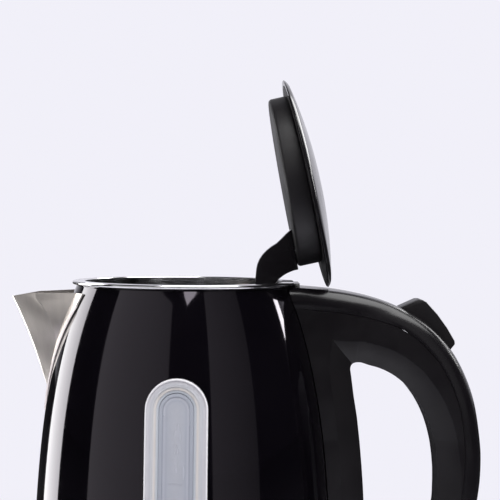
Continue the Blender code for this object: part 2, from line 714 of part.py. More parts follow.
# ---- heater and underside ----
def heater_parts():
    inside = BELLY_R - STEEL_WALL
    seal_r = inside - GAP
    plate_r = seal_r - PLATE_SEAL_W
    plate_top = PLATE_Z + PLATE_THICK
    plate = disc("heater_plate", plate_r, plate_top, PLATE_Z, SEGMENTS)
    finish(plate, (0.6, 0.6, 0.6), 0.3, 1.0)
    lip = 0.0009
    seal = turned("plate_seal", [
        (plate_r - lip, plate_top + GAP + lip), (seal_r, plate_top + GAP + lip), (seal_r, PLATE_Z - GAP - lip),
        (plate_r - lip, PLATE_Z - GAP - lip), (plate_r - lip, PLATE_Z - GAP), (plate_r + GAP, PLATE_Z - GAP),
        (plate_r + GAP, plate_top + GAP), (plate_r - lip, plate_top + GAP)])
    finish(seal, (0.55, 0.55, 0.55), 0.7)

    pad_low = PLATE_Z - GAP - DIFFUSER_THICK
    pad = disc("heat_diffuser", DIFFUSER_R, PLATE_Z - GAP, pad_low, 32)
    finish(pad, (0.7, 0.7, 0.7), 0.4, 1.0)
    ring_z = pad_low - GAP - ELEMENT_R
    points = []
    for index in range(23):
        angle = math.radians(25 + 310 * index / 22)
        points.append((ELEMENT_RING_R * math.cos(angle), ELEMENT_RING_R * math.sin(angle), ring_z))
    element = tube("heating_element", points, ELEMENT_R, 2, resolution=2)
    finish(element, (0.35, 0.33, 0.31), 0.5, 1.0)

    control_half = 0.019
    control_top = pad_low - GAP
    socket_top = CONNECTOR_TOP + 0.0040
    control = box("thermostat_control", (-control_half, -control_half, socket_top + GAP),
                  (control_half, control_half, control_top))
    soften(control, 0.002)
    finish(control, (0.75, 0.73, 0.68), 0.5)

    inner = CONNECTOR_R + 0.0009
    outer = inner + SOCKET_WALL
    floor_z = CONNECTOR_TOP + 0.0016
    socket = turned("jug_connector", [
        (0.0, socket_top), (outer, socket_top), (outer, BASE_TOP + 0.0019), (inner, BASE_TOP + 0.0019),
        (inner, floor_z), (0.0094, floor_z), (0.0094, CONNECTOR_TOP - 0.008), (0.0066, CONNECTOR_TOP - 0.008),
        (0.0066, floor_z), (0.0011, floor_z), (0.0011, CONNECTOR_TOP - 0.0085), (0.0, CONNECTOR_TOP - 0.009)],
        False, 24)
    finish(socket, (0.6, 0.58, 0.54), 0.5)
    return outer


def soften(thing, width, segments=2):
    bevel = thing.modifiers.new("soften", "BEVEL")
    bevel.width = width
    bevel.segments = segments
    bevel.limit_method = "ANGLE"
    return thing


def skirt_parts(socket_r):
    low = BASE_TOP + GAP
    inner = SKIRT_R - SKIRT_WALL
    top = BODY_BOTTOM_Z + SKIRT_OVERLAP
    lap = BELLY_R + GAP
    ledge = BELLY_R - 0.0035
    skirt = turned("jug_skirt", [
        (SKIRT_R - 0.0008, top), (SKIRT_R, top - 0.0012), (SKIRT_R, low + 0.002), (SKIRT_R - 0.0015, low),
        (inner - 0.0015, low), (inner, low + 0.002), (inner, BODY_BOTTOM_Z - GAP - 0.0035),
        (ledge, BODY_BOTTOM_Z - GAP - 0.0018), (ledge, BODY_BOTTOM_Z - GAP), (lap, BODY_BOTTOM_Z - GAP),
        (lap, top)])
    house_half = HOUSE_HALF_W
    house_back = LEVER_X + HOUSE_REACH
    house = box("house_block", (BELLY_R - 0.0020, -house_half, low + 0.0015),
                (house_back, house_half, HOUSE_TOP), True)
    soften(house, 0.0015)
    jug_room = disc("house_front", lap + 0.0004, HOUSE_TOP + 0.01, 0.0, SEGMENTS, True)
    boolean(house, jug_room)
    house = flat(house, "switch_house", True)
    boolean(skirt, house, "UNION")
    room = box("switch_room", (inner - 0.0040, -house_half + HOUSE_WALL, low + 0.0040),
               (house_back - HOUSE_WALL, house_half - HOUSE_WALL, HOUSE_TOP - HOUSE_WALL), True)
    boolean(room, disc("room_front", lap + 0.0012, HOUSE_TOP + 0.01, BODY_BOTTOM_Z - 0.004, SEGMENTS, True))
    room = flat(room, "switch_space", True)
    boolean(skirt, room)
    mouth = box("lever_mouth", (LEVER_X, -LEVER_HALF_W - 0.0004, LEVER_Z - 0.0070),
                (LEVER_X + 0.02, LEVER_HALF_W + 0.0004, LEVER_Z + 0.0050), True)
    boolean(skirt, mouth)
    ear_half = house_half + 0.001
    ear_hole = rod("lever_pivot_hole", (LEVER_X, -ear_half, LEVER_Z), (LEVER_X, ear_half, LEVER_Z),
                   LEVER_AXLE_R + GAP, 16, True)
    boolean(skirt, ear_hole)
    steam_port = rod("steam_port", (STEAM_X, 0, HOUSE_TOP - 0.004), (STEAM_X, 0, HOUSE_TOP + 0.02),
                     STEAM_TUBE_R + GAP, 20, True)
    boolean(skirt, steam_port)
    finish(skirt, (0.012, 0.012, 0.013), 0.35)

    cover = ring("jug_bottom_cover", inner - GAP, socket_r + GAP, low + 0.0042, low + 0.0022)
    for index in range(3):
        angle = math.radians(90 + 120 * index)
        x, y = 0.058 * math.cos(angle), 0.058 * math.sin(angle)
        through = moved(disc(f"jug_screw_hole_{index + 1}", 0.0018, 0.04, 0.01, 14, True), x, y)
        boolean(cover, through)
        screw = turned(f"jug_screw_{index + 1}", [
            (0.0, 0.0130), (SCREW_R, 0.0125), (SCREW_R, 0.0), (SCREW_HEAD_R, 0.0), (SCREW_HEAD_R, -0.0011),
            (0.0, -0.0011)], False, 8)
        moved(screw, x, y, low + 0.0022 - GAP)
        finish(screw, (0.55, 0.55, 0.56), 0.3, 1.0)
    finish(cover, (0.015, 0.015, 0.016), 0.5)


def switch_parts():
    paddle = slab("switch_lever", [
        (LEVER_X - 0.0035, LEVER_Z + 0.0022), (LEVER_X + 0.0030, LEVER_Z + 0.0030),
        (LEVER_X + 0.0190, LEVER_Z + 0.0012), (LEVER_X + 0.0200, LEVER_Z - 0.0008),
        (LEVER_X + 0.0180, LEVER_Z - 0.0026), (LEVER_X + 0.0030, LEVER_Z - 0.0030),
        (LEVER_X - 0.0035, LEVER_Z - 0.0022)], -LEVER_HALF_W, LEVER_HALF_W)
    axle_half = HOUSE_HALF_W - GAP
    axle = rod("lever_axle", (LEVER_X, -axle_half, LEVER_Z), (LEVER_X, axle_half, LEVER_Z),
               LEVER_AXLE_R, 16, True)
    boolean(paddle, axle, "UNION")
    lens_low, lens_high = (LEVER_X + 0.0090, -0.0030), (LEVER_X + 0.0150, 0.0030)
    socket = box("lens_socket", (*lens_low, LEVER_Z), (*lens_high, LEVER_Z + 0.01), True)
    boolean(paddle, socket)
    finish(paddle, (0.02, 0.02, 0.02), 0.35)
    lens = box("switch_lens", (lens_low[0] + GAP, lens_low[1] + GAP, LEVER_Z + GAP),
               (lens_high[0] - GAP, lens_high[1] - GAP, LEVER_Z + 0.0022))
    soften(lens, 0.0004, 1)
    finish(lens, (0.6, 0.1, 0.08), 0.2, 0.0, 0.7)
    steam_switch = disc("steam_switch", 0.0075, 0.0030, 0.0, 24)
    moved(steam_switch, STEAM_X + 0.0020, 0, BASE_TOP + 0.0040 + 2 * GAP)
    finish(steam_switch, (0.7, 0.68, 0.6), 0.4, 0.6)
    lever_body = empty("lever_axis", (LEVER_X, 0, LEVER_Z))
    hang([paddle, lens], lever_body)


# ---- handle ----
HANDLE_OUTSIDE = [
    (57.2, 2.6), (76.0, 4.3), (94.0, 7.9), (109.0, 13.4), (121.0, 20.9), (131.3, 31.8), (138.6, 44.2),
    (144.0, 59.0), (147.2, 77.0), (148.0, 90.0), (147.0, 105.0), (143.0, 125.0), (134.0, 144.0), (120.0, 157.0),
    (102.0, 164.3), (86.0, 166.6)]
HANDLE_OPENING = [
    (82.6, 39.6), (91.4, 40.6), (99.3, 43.1), (107.3, 48.2), (113.4, 54.6), (119.3, 64.0), (123.4, 75.0),
    (125.8, 88.0), (126.4, 102.0), (125.0, 117.0), (119.0, 131.0), (108.0, 140.5), (97.0, 144.5), (91.4, 143.5),
    (90.4, 136.0), (89.8, 112.0), (88.4, 90.5), (85.8, 66.5), (82.5, 45.0)]
HANDLE_SEAM = [
    (57.0, 13.0), (84.4, 16.0), (102.4, 20.7), (111.4, 25.4), (119.3, 32.2), (127.6, 42.6), (134.6, 58.0),
    (138.0, 74.0), (138.6, 92.0), (137.0, 108.0), (132.6, 124.0), (124.0, 139.0), (112.0, 149.5), (98.0, 155.6),
    (84.0, 158.0)]
HANDLE_BACK = [
    (84.0, 166.0), (75.0, 164.0), (74.3, 140.0), (72.8, 105.0), (70.7, 78.0), (66.3, 50.0), (62.0, 30.0),
    (58.0, 12.0)]
HANDLE_WIDTHS = [(2.0, 23.0), (7.0, 20.4), (14.0, 18.8), (35.0, 18.4), (58.0, 17.0), (78.0, 15.2), (100.0, 14.4),
                 (168.0, 13.2)]


def handle_z(drop):
    """The height of a drop in the handle's outlines, stretched below its upper part to suit the jug's height."""
    stretch = (HANDLE_BOTTOM_DROP - HANDLE_FIXED) / (HANDLE_DRAWN - HANDLE_FIXED)
    return RIM_Z - drop - max(0.0, drop - HANDLE_FIXED) * (stretch - 1.0)


def xz(points):
    """Handle points given as millimetres (x, drop) to metres (x, z)."""
    return [(x * MM, handle_z(drop * MM)) for x, drop in points]


def handle_half_width(z):
    drop = (RIM_Z - z) / MM
    if drop <= HANDLE_WIDTHS[0][0]:
        return HANDLE_WIDTHS[0][1] * MM
    for (drop_a, half_a), (drop_b, half_b) in zip(HANDLE_WIDTHS, HANDLE_WIDTHS[1:]):
        if drop <= drop_b:
            return (half_a + (half_b - half_a) * (drop - drop_a) / (drop_b - drop_a)) * MM
    return HANDLE_WIDTHS[-1][1] * MM


def handle_blank():
    """The whole handle as one solid: sides drafted, outer edges rounded, opening chamfered."""
    bottom_z = RIM_Z - HANDLE_BOTTOM_DROP
    outside = xz(HANDLE_OUTSIDE) + [(0.0700, bottom_z, "corner"), (0.0380, bottom_z, "corner"),
                                    (0.0380, RIM_Z - 0.0026, "corner")]
    blank = slab("handle_blank", [("SMOOTH", outside), ("SMOOTH", xz(HANDLE_OPENING))], -0.01, 0.01, "XZ", 2)
    work = bmesh.new()
    work.from_mesh(blank.data)
    for drop, _ in HANDLE_WIDTHS[1:-1]:
        everything = list(work.verts) + list(work.edges) + list(work.faces)
        bmesh.ops.bisect_plane(work, geom=everything, dist=1e-7, plane_co=(0, 0, RIM_Z - drop * MM),
                               plane_no=(0, 0, 1))
    for corner in work.verts:
        corner.co.y = math.copysign(handle_half_width(corner.co.z), corner.co.y)
    bmesh.ops.dissolve_limit(work, angle_limit=math.radians(0.25), verts=work.verts, edges=work.edges)
    work.normal_update()
    middle = Vector((0.105, 0.0, RIM_Z - 0.092))
    outer_edges, opening_edges = [], []
    for edge in work.edges:
        if len(edge.link_faces) != 2 or edge.calc_face_angle() < math.radians(50):
            continue
        side = min(edge.link_faces, key=lambda face: abs(face.normal.y))
        if abs(side.normal.y) > 0.5:
            continue
        if side.normal.dot(middle - side.calc_center_median()) > 0:
            opening_edges.append(edge)
        else:
            outer_edges.append(edge)
    bmesh.ops.bevel(work, geom=opening_edges, offset=HANDLE_CHAMFER, segments=2, profile=0.5, affect="EDGES",
                    clamp_overlap=True)
    outer_edges = [edge for edge in outer_edges if edge.is_valid]
    bmesh.ops.bevel(work, geom=outer_edges, offset=HANDLE_ROUND, segments=2, profile=0.5, affect="EDGES",
                    clamp_overlap=True)
    bmesh.ops.triangulate(work, faces=work.faces)
    work.to_mesh(blank.data)
    work.free()
    return blank


def drawn_in(points, distance):
    """An outline that runs clockwise, moved in by a distance, or out where it is negative."""
    moved_points = []
    for index, here in enumerate(points):
        before, after = points[index - 1], points[(index + 1) % len(points)]
        along = Vector((after[0] - before[0], after[1] - before[1])).normalized()
        moved_points.append((here[0] + along.y * distance, here[1] - along.x * distance))
    return moved_points


def handle_cavity(name):
    """The hollow inside the handle: its outline drawn in by the wall, cut narrower than the handle."""
    outside = drawn_in(xz(HANDLE_OUTSIDE[:-1] + HANDLE_BACK), HANDLE_WALL)
    opening = drawn_in(xz(HANDLE_OPENING), -HANDLE_WALL)
    outlines = [("SMOOTH", outside), ("SMOOTH", opening)]
    return slab(name, outlines, -HANDLE_CAVITY_HALF, HANDLE_CAVITY_HALF, "XZ", 2, True)


def button_point(along, out):
    """A point given along the button's face and outwards from the handle's surface."""
    turn_x = math.cos(BUTTON_TILT), -math.sin(BUTTON_TILT)
    turn_n = math.sin(BUTTON_TILT), math.cos(BUTTON_TILT)
    return (BUTTON_X + along * turn_x[0] + out * turn_n[0],
            RIM_Z - BUTTON_DROP + along * turn_x[1] + out * turn_n[1])


def button_outline(grow):
    """The button's pocket, along and out of the handle's surface, with room for its travel."""
    floor = BUTTON_FLOOR - BUTTON_TRAVEL - grow
    return [button_point(BUTTON_LEFT - grow, floor), button_point(BUTTON_LEFT - grow, 0.02),
            button_point(BUTTON_RIGHT + grow, 0.02), button_point(BUTTON_RIGHT + grow, floor)]


def seam_region(name, shrink):
    """Everything outside the seam between the handle's shell and its cover, from its seam outwards."""
    seam = xz(HANDLE_SEAM)
    shifted = []
    for index, (x, z) in enumerate(seam):
        before = seam[max(0, index - 1)]
        after = seam[min(len(seam) - 1, index + 1)]
        along = Vector((after[0] - before[0], after[1] - before[1])).normalized()
        shifted.append((x - along.y * shrink, z + along.x * shrink))
    left, right = 0.020, 0.200
    start = (left, shifted[0][1], "corner")
    end = (left, shifted[-1][1], "corner")
    low, high = RIM_Z - 0.20, RIM_Z + 0.03
    corners = [(left, low, "corner"), (right, low, "corner"), (right, high, "corner"), (left, high, "corner")]
    first = (*shifted[0], "corner")
    last = (*shifted[-1], "corner")
    outline = [start, first] + shifted[1:-1] + [last, end] + corners
    return slab(name, [("SMOOTH", outline)], -0.05, 0.05, "XZ", 3, True)


def root_pocket(name):
    """Room in the handle's root for the hinge housing."""
    back, step_z = HOUSING_BACK + GAP, RIM_Z - HOUSING_TOP_DROP + GAP
    inside, front = 0.040, 0.0573
    return slab(name, [
        (inside, RIM_Z - SLOT_DROP), (back, RIM_Z - SLOT_DROP), (back, step_z), (front, step_z),
        (front, RIM_Z + 0.02), (inside, RIM_Z + 0.02)], -SLOT_HALF, SLOT_HALF, "XZ", is_cutter=True)


def handle_parts():
    blank = handle_blank()
    shared_cutters = [
        body_plug("handle_seat", GAP),
        handle_cavity("handle_hollow"),
        root_pocket("handle_root_pocket"),
        tube("handle_steam_port", steam_path(0.003), STEAM_TUBE_R + GAP, 2, is_cutter=True, resolution=2)]
    shell = add_object("handle_shell", blank.data.copy())
    cover = add_object("handle_cover", blank.data.copy())
    bpy.data.objects.remove(blank, do_unlink=True)
    boolean(shell, seam_region("cover_region", 0.0), solver="MANIFOLD")
    boolean(cover, seam_region("cover_keep", GAP), "INTERSECT", solver="MANIFOLD")
    for cutter in shared_cutters:
        boolean(shell, cutter, solver="MANIFOLD")
        boolean(cover, cutter, solver="MANIFOLD")
    seat_low, seat_half = SPRING_SEAT - 0.004, HANDLE_CAVITY_HALF + 0.001
    seat = slab("spring_seat", [button_point(0.000, seat_low), button_point(0.012, seat_low),
                                button_point(0.012, SPRING_SEAT), button_point(0.000, SPRING_SEAT)],
                -seat_half, seat_half, "XZ", is_cutter=True)
    boolean(shell, seat, "UNION", solver="MANIFOLD")
    finish(shell, (0.013, 0.013, 0.014), 0.5)
    pocket_half = BUTTON_HALF_W + GAP
    pocket = slab("button_pocket", button_outline(GAP), -pocket_half, pocket_half, "XZ", is_cutter=True)
    boolean(cover, pocket, solver="MANIFOLD")
    boolean(shell, pocket, solver="MANIFOLD")
    finish(cover, (0.014, 0.014, 0.015), 0.4)


# ---- hinge and lid ----
def hinge_housing():
    def at(points):
        return [(x * MM, RIM_Z - drop * MM) for x, drop in points]
    back, top = HOUSING_BACK / MM, HOUSING_TOP_DROP / MM
    housing = slab("hinge_housing", at([
        (46.6, 0.8), (57.0, 0.8), (57.0, top), (back, top), (back, 28.3), (58.6, 28.3), (54.0, 14.0),
        (50.2, 3.9), (46.6, 3.3)]), -CHEEK_OUT, CHEEK_OUT)
    room = slab("housing_room", at([
        (40.0, 3.3), (46.6, 3.3), (54.0, 4.2), (55.4, 6.2), (back - 1.9, 6.2), (back - 1.9, 26.6), (61.9, 26.6),
        (61.9, 40.0), (40.0, 40.0)]), -CHEEK_IN, CHEEK_IN, is_cutter=True)
    boolean(housing, room)
    hole = rod("pin_hole", (PIVOT.x, -0.03, PIVOT.z), (PIVOT.x, 0.03, PIVOT.z), PIN_R + GAP, 16, True)
    boolean(housing, hole)
    latch_low = PIVOT.z - LATCH_DROP - LATCH_TALL
    slit = box("latch_slit", (0.066, -LATCH_HALF_W - GAP, latch_low - GAP),
               (0.075, LATCH_HALF_W + GAP, PIVOT.z - LATCH_DROP + GAP), True)
    boolean(housing, slit)
    vent = rod("steam_vent", (0.0660, 0, RIM_Z - 0.035), (0.0660, 0, RIM_Z - 0.020), 0.0024, 16, True)
    boolean(housing, vent)
    finish(housing, (0.013, 0.013, 0.014), 0.45)

    pin_half = CHEEK_OUT - GAP
    pin = rod("hinge_pin", (PIVOT.x, -pin_half, PIVOT.z), (PIVOT.x, pin_half, PIVOT.z), PIN_R, 16)
    finish(pin, (0.6, 0.6, 0.6), 0.25, 1.0)
    spring_low, spring_high = 0.0039, CHEEK_IN - 0.0002
    spring_y = (spring_low + spring_high) / 2
    spring = coil("lid_spring", (PIVOT.x, spring_y, PIVOT.z), (0, 1, 0), 0.0034, SPRING_WIRE, 2.5,
                  spring_high - spring_low - 2 * SPRING_WIRE - GAP)
    finish(spring, (0.6, 0.6, 0.6), 0.3, 1.0)


def steam_path(longer):
    """The steam tube's middle line, from the hinge housing's vent down to the switch."""
    path = [(0.0662 - 0.25 * longer, 0, RIM_Z - 0.0296 + longer)]
    for x, drop in ((0.0682, 0.0366), (0.0745, 0.0560), (0.0795, 0.0850), (STEAM_X, 0.1150), (STEAM_X, 0.1400)):
        z = handle_z(drop)
        clear_x = body_radius(RIM_Z - z) + STEAM_TUBE_R + STEAM_CLEAR
        path.append((max(x, clear_x), 0, z))
    return path + [(STEAM_X, 0, HOUSE_TOP - STEAM_IN_HOUSE - longer)]


def steam_tube():
    outside = tube("steam_tube", steam_path(0.0), STEAM_TUBE_R, 2, caps=True, resolution=2)
    bore_r = STEAM_TUBE_R - STEAM_TUBE_WALL
    inside = tube("steam_bore", steam_path(0.004), bore_r, 2, is_cutter=True, resolution=2)
    boolean(outside, inside)
    return finish(outside, (0.7, 0.7, 0.68), 0.5)


def lid_parts():
    flange_z = RIM_Z + 0.0001
    crown = []
    steps = 5
    edge_z = flange_z + LID_EDGE
    for index in range(steps + 1):
        share = index / steps
        radius = (LID_R - 0.0024) * share
        crown.append((radius, flange_z + LID_CROWN - (LID_CROWN - LID_EDGE - 0.0006) * share ** 2.1))
    outer = crown + [(LID_R - 0.0009, edge_z - 0.0002), (LID_R, edge_z - 0.0012), (LID_R, flange_z + 0.0005),
                     (LID_R - 0.0004, flange_z)]
    seat_r = LID_R - 0.0026
    inner = [(seat_r, flange_z), (seat_r, flange_z + LID_EDGE - 0.0009)]
    for index in range(steps - 1, -1, -1):
        radius, z = crown[index]
        inner.append((radius, z - LID_SHELL))
    dome = turned("lid_dome", outer + inner, False)
    finish(dome, (0.016, 0.016, 0.017), 0.3)

    disc_r = seat_r - GAP
    liner = disc("lid_liner", disc_r, flange_z + 0.0014, flange_z, SEGMENTS)
    liner = flat(liner, "lid_liner")
    plug = sloped_plug("plug_outside", PLUG_R, flange_z + 0.0005, PLUG_DEPTH)
    boolean(liner, plug, "UNION")
    room = sloped_plug("plug_inside", PLUG_R - PLUG_WALL, flange_z + 0.01, PLUG_DEPTH - PLUG_WALL)
    boolean(liner, room)

    arm = lid_arm(flange_z)
    for index, side in enumerate((-1, 1)):
        x, y = 0.0320, side * 0.0040
        floor = flange_z - PLUG_DEPTH - PLUG_SLOPE * (x - PLUG_X)
        hole = rod(f"lid_screw_hole_{index + 1}", (x, y, floor - 0.0085), (x, y, floor + 0.02),
                   SCREW_R + GAP, 14, True)
        boolean(liner, hole)
        boolean(arm, hole)
        head = PLUG_WALL + 0.0006
        screw = turned(f"lid_screw_{index + 1}", [
            (0.0, head + 0.0014), (0.0028, head + 0.0014), (0.0028, head), (SCREW_R, head), (SCREW_R, -0.0080),
            (0.0, -0.0080)], False, 8)
        moved(screw, x, y, floor)
        finish(screw, (0.55, 0.55, 0.56), 0.3, 1.0)
    finish(liner, (0.014, 0.014, 0.015), 0.6)
    finish(arm, (0.014, 0.014, 0.015), 0.45)
    names = ["lid_dome", "lid_liner", "lid_arm", "lid_screw_1", "lid_screw_2"]
    axis = empty("lid_axis", PIVOT)
    hang([bpy.data.objects[name] for name in names], axis, math.radians(LID_OPEN_DEG))


def sloped_plug(name, radius, top, depth):
    """A short round plug whose floor falls towards the hinge."""
    work = bmesh.new()
    bmesh.ops.create_cone(work, cap_ends=True, segments=40, radius1=radius, radius2=radius, depth=1.0)
    floor = RIM_Z + 0.0001 - depth
    for corner in work.verts:
        slope = PLUG_SLOPE * corner.co.x
        corner.co.z = top if corner.co.z > 0 else floor - slope
        corner.co.x += PLUG_X
    bmesh.ops.recalc_face_normals(work, faces=work.faces)
    mesh = bpy.data.meshes.new(name)
    work.to_mesh(mesh)
    work.free()
    return add_object(name, mesh, True)


def around_pivot(radius, angle_deg):
    angle = math.radians(angle_deg)
    return PIVOT.x + radius * math.cos(angle), PIVOT.z + radius * math.sin(angle)


def lid_arm(flange_z):
    """The gooseneck: from the plug's floor, round under the rim, and back up to the hinge pin."""
    def floor(x):
        return flange_z - PLUG_DEPTH - PLUG_SLOPE * (x - PLUG_X) - GAP
    outside = [(0.0206, floor(0.0206)), (0.0250, RIM_Z - 0.0193), (0.0297, RIM_Z - 0.0275)]
    hook_out = [around_pivot(HOOK_OUT_R, angle) for angle in (216, 224, 232, 240, 247)]
    hook_in = [around_pivot(HOOK_IN_R, angle) for angle in (234, 226, 218, 210, 202, 194, 186, 178)]
    spoke_right = [around_pivot(9.0 * MM, 268), around_pivot(6.4 * MM, 290)]
    spoke_left = [around_pivot(6.2 * MM, 205), around_pivot(8.0 * MM, 222)]
    outline = outside + hook_out + spoke_right + spoke_left + hook_in + [(0.0404, floor(0.0404))]
    arm = slab("lid_arm", outline, -ARM_HALF_W, ARM_HALF_W)
    soften(arm, 0.0012, 2)
    hub = rod("arm_hub", (PIVOT.x, -ARM_HALF_W, PIVOT.z), (PIVOT.x, ARM_HALF_W, PIVOT.z), HUB_R, 32, True)
    boolean(arm, hub, "UNION")
    relief = rod("spring_relief", (PIVOT.x, 0.0034, PIVOT.z), (PIVOT.x, 0.02, PIVOT.z),
                 HUB_R + 0.0012, 32, True)
    boolean(arm, relief)
    bore = rod("arm_bore", (PIVOT.x, -0.02, PIVOT.z), (PIVOT.x, 0.02, PIVOT.z), PIN_R + GAP, 16, True)
    boolean(arm, bore)
    notch = box("latch_notch", (PIVOT.x + HUB_R - 0.0016, -LATCH_HALF_W - 0.0006, PIVOT.z - 0.0052),
                (PIVOT.x + HUB_R + 0.01, LATCH_HALF_W + 0.0006, PIVOT.z + 0.0004), True)
    boolean(arm, notch)
    return arm


# ---- release button and latch ----
def release_parts():
    crest = [button_point(BUTTON_LEFT, -0.0029), button_point(-0.0108, 0.0052), button_point(-0.0092, 0.0066),
             button_point(-0.0070, 0.0070), button_point(0.0010, 0.0058), button_point(0.0090, 0.0037),
             button_point(0.0160, 0.0011), button_point(BUTTON_RIGHT, 0.0000)]
    foot_right, foot_left = 0.1105, 0.1040
    ramp = BUTTON_TRAVEL * math.cos(BUTTON_TILT) / (BUTTON_TRAVEL * math.sin(BUTTON_TILT) + LATCH_TRAVEL)
    ramp_x, ramp_drop = 0.107, 0.0236

    def ramp_z(x, lift):
        return RIM_Z - ramp_drop + (x - ramp_x) * ramp + lift
    under = [button_point(BUTTON_RIGHT, BUTTON_FLOOR), button_point(0.0020, BUTTON_FLOOR),
             (foot_right, ramp_z(foot_right, 0.0004)), (foot_left, ramp_z(foot_left, 0.0004)),
             button_point(BUTTON_LEFT, BUTTON_FLOOR)]
    button = slab("release_button", crest + under, -BUTTON_HALF_W, BUTTON_HALF_W)
    soften(button, 0.0009, 2)
    for index, side in enumerate((-1, 1)):
        trim = slab(f"foot_trim_{index + 1}", [
            button_point(-0.03, BUTTON_FLOOR), button_point(0.03, BUTTON_FLOOR), button_point(0.03, -0.03),
            button_point(-0.03, -0.03)], *sorted((side * LATCH_HALF_W, side * 0.02)), is_cutter=True)
        boolean(button, trim)
    finish(button, (0.012, 0.012, 0.013), 0.35)

    high = PIVOT.z - LATCH_DROP
    low = high - LATCH_TALL
    tip = PIVOT.x + HUB_R + 0.0004
    latch = slab("latch_slider", [
        (tip, high), (0.0880, high), (0.0962, RIM_Z - 0.0230), (0.0988, ramp_z(0.0988, 0.0)),
        (0.1066, ramp_z(0.1066, 0.0)), (0.1066, RIM_Z - 0.0305), (0.0965, RIM_Z - 0.0305), (0.0860, low),
        (tip, low)],
        -LATCH_HALF_W, LATCH_HALF_W)
    finish(latch, (0.7, 0.7, 0.68), 0.5)

    spring_top, spring_low = BUTTON_FLOOR - 2 * GAP, SPRING_SEAT + GAP
    middle = button_point(0.006, (spring_top + spring_low) / 2)
    spring = coil("button_spring", (middle[0], 0, middle[1]), (math.sin(BUTTON_TILT), 0, math.cos(BUTTON_TILT)),
                  0.0026, SPRING_WIRE, 5, spring_top - spring_low - 2 * SPRING_WIRE)
    finish(spring, (0.6, 0.6, 0.6), 0.3, 1.0)

    button_axis = empty("button_axis", (BUTTON_X, 0, RIM_Z - BUTTON_DROP))
    hang([button], button_axis)
    latch_axis = empty("latch_axis", (PIVOT.x + HUB_R, 0, PIVOT.z))
    hang([latch], latch_axis)


def handle_screws():
    ceiling = HOUSE_TOP - HOUSE_WALL
    head_top = ceiling - GAP
    for index, side in enumerate((-1, 1)):
        name = f"handle_screw_{index + 1}"
        x, y = HANDLE_SCREW_X, side * HANDLE_SCREW_Y
        hole = rod(f"handle_screw_hole_{index + 1}", (x, y, ceiling - 0.001), (x, y, HOUSE_TOP + 0.0110),
                   SCREW_R + GAP, 14, True)
        boolean(bpy.data.objects["jug_skirt"], hole)
        boolean(bpy.data.objects["handle_cover"], hole, solver="MANIFOLD")
        screw = turned(name, [(0.0, 0.0100), (SCREW_R, 0.0096), (SCREW_R, 0.0), (0.0026, 0.0),
                              (0.0026, -0.0012), (0.0, -0.0012)], False, 8)
        moved(screw, x, y, head_top)
        finish(screw, (0.55, 0.55, 0.56), 0.3, 1.0)


def main():
    clear_scene()
    base_parts()
    jug_body()
    rim_ring()
    spout()
    spout_filter()
    window_parts()
    socket_r = heater_parts()
    skirt_parts(socket_r)
    switch_parts()
    handle_parts()
    hinge_housing()
    steam_tube()
    lid_parts()
    release_parts()
    handle_screws()


main()
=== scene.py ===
"""Electric kettle, the looks: finer meshes, materials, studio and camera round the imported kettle.

Metres, +Z up. The jug's axis is Z, the spout points along -X and the handle along +X.
Heights named ..._DROP are measured down from the rim plane. Lid pieces are modelled closed and then opened.
"""
import json
import math

import bmesh
import bpy
from mathutils import Matrix, Vector

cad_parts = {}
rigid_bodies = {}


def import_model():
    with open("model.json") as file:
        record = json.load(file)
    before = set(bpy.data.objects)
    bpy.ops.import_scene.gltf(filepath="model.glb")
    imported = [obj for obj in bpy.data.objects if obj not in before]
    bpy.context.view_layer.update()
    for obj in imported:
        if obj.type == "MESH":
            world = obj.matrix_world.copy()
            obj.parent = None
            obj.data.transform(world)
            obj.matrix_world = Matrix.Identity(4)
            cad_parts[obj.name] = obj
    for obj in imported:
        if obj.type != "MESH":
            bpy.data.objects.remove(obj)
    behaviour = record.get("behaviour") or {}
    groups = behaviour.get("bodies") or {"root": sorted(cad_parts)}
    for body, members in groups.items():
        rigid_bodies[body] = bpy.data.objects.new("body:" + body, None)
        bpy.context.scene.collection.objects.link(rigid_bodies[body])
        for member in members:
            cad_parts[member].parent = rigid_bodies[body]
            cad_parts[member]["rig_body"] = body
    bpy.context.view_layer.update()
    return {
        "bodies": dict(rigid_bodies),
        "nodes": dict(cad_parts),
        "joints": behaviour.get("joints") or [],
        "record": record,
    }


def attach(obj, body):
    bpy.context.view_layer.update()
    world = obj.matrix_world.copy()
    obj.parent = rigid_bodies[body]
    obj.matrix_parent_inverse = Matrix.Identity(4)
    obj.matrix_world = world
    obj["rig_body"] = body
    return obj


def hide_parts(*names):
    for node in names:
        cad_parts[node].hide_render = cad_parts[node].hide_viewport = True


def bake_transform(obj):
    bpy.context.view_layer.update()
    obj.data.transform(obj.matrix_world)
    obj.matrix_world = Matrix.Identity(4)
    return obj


# ---- driving dimensions ----
GAP = 0.0003                # clearance between neighbouring pieces
MM = 0.001

RIM_Z = 0.213               # rim plane above the table
RIM_R = 0.056               # outside radius of the rolled rim
RIM_BEAD = 0.0009           # radius of the rolled edge
MOUTH_R = 0.050             # open mouth inside the rim
RIM_THICK = 0.0018
RIM_LIP = 0.0045            # depth of the lip that locates the lid

STEEL_WALL = 0.0008
NECK_R = 0.0538             # jug body at its top edge, outside
BELLY_R = 0.0745            # jug body at its bottom edge, outside
BODY_DROP = 0.172           # jug body's bottom edge below the rim plane
SHOULDER_OUT = 0.0151       # the body curve's first handle, out from the neck
SHOULDER_DROP = 0.0401
BELLY_RISE = 0.0808         # the body curve's second handle, above the bottom edge

BASE_R = 0.077
BASE_TOP = 0.017
BASE_WALL = 0.0022
FOOT_R = 0.006
FOOT_PROUD = 0.001
FOOT_TALL = 0.0022
FOOT_CIRCLE_R = 0.056
BASE_COVER_THICK = 0.0028
BASE_POST_CIRCLE_R = 0.047
JUG_SCREW_CIRCLE_R = 0.058
GLAND_Z = 0.0085            # height of the cord's gland

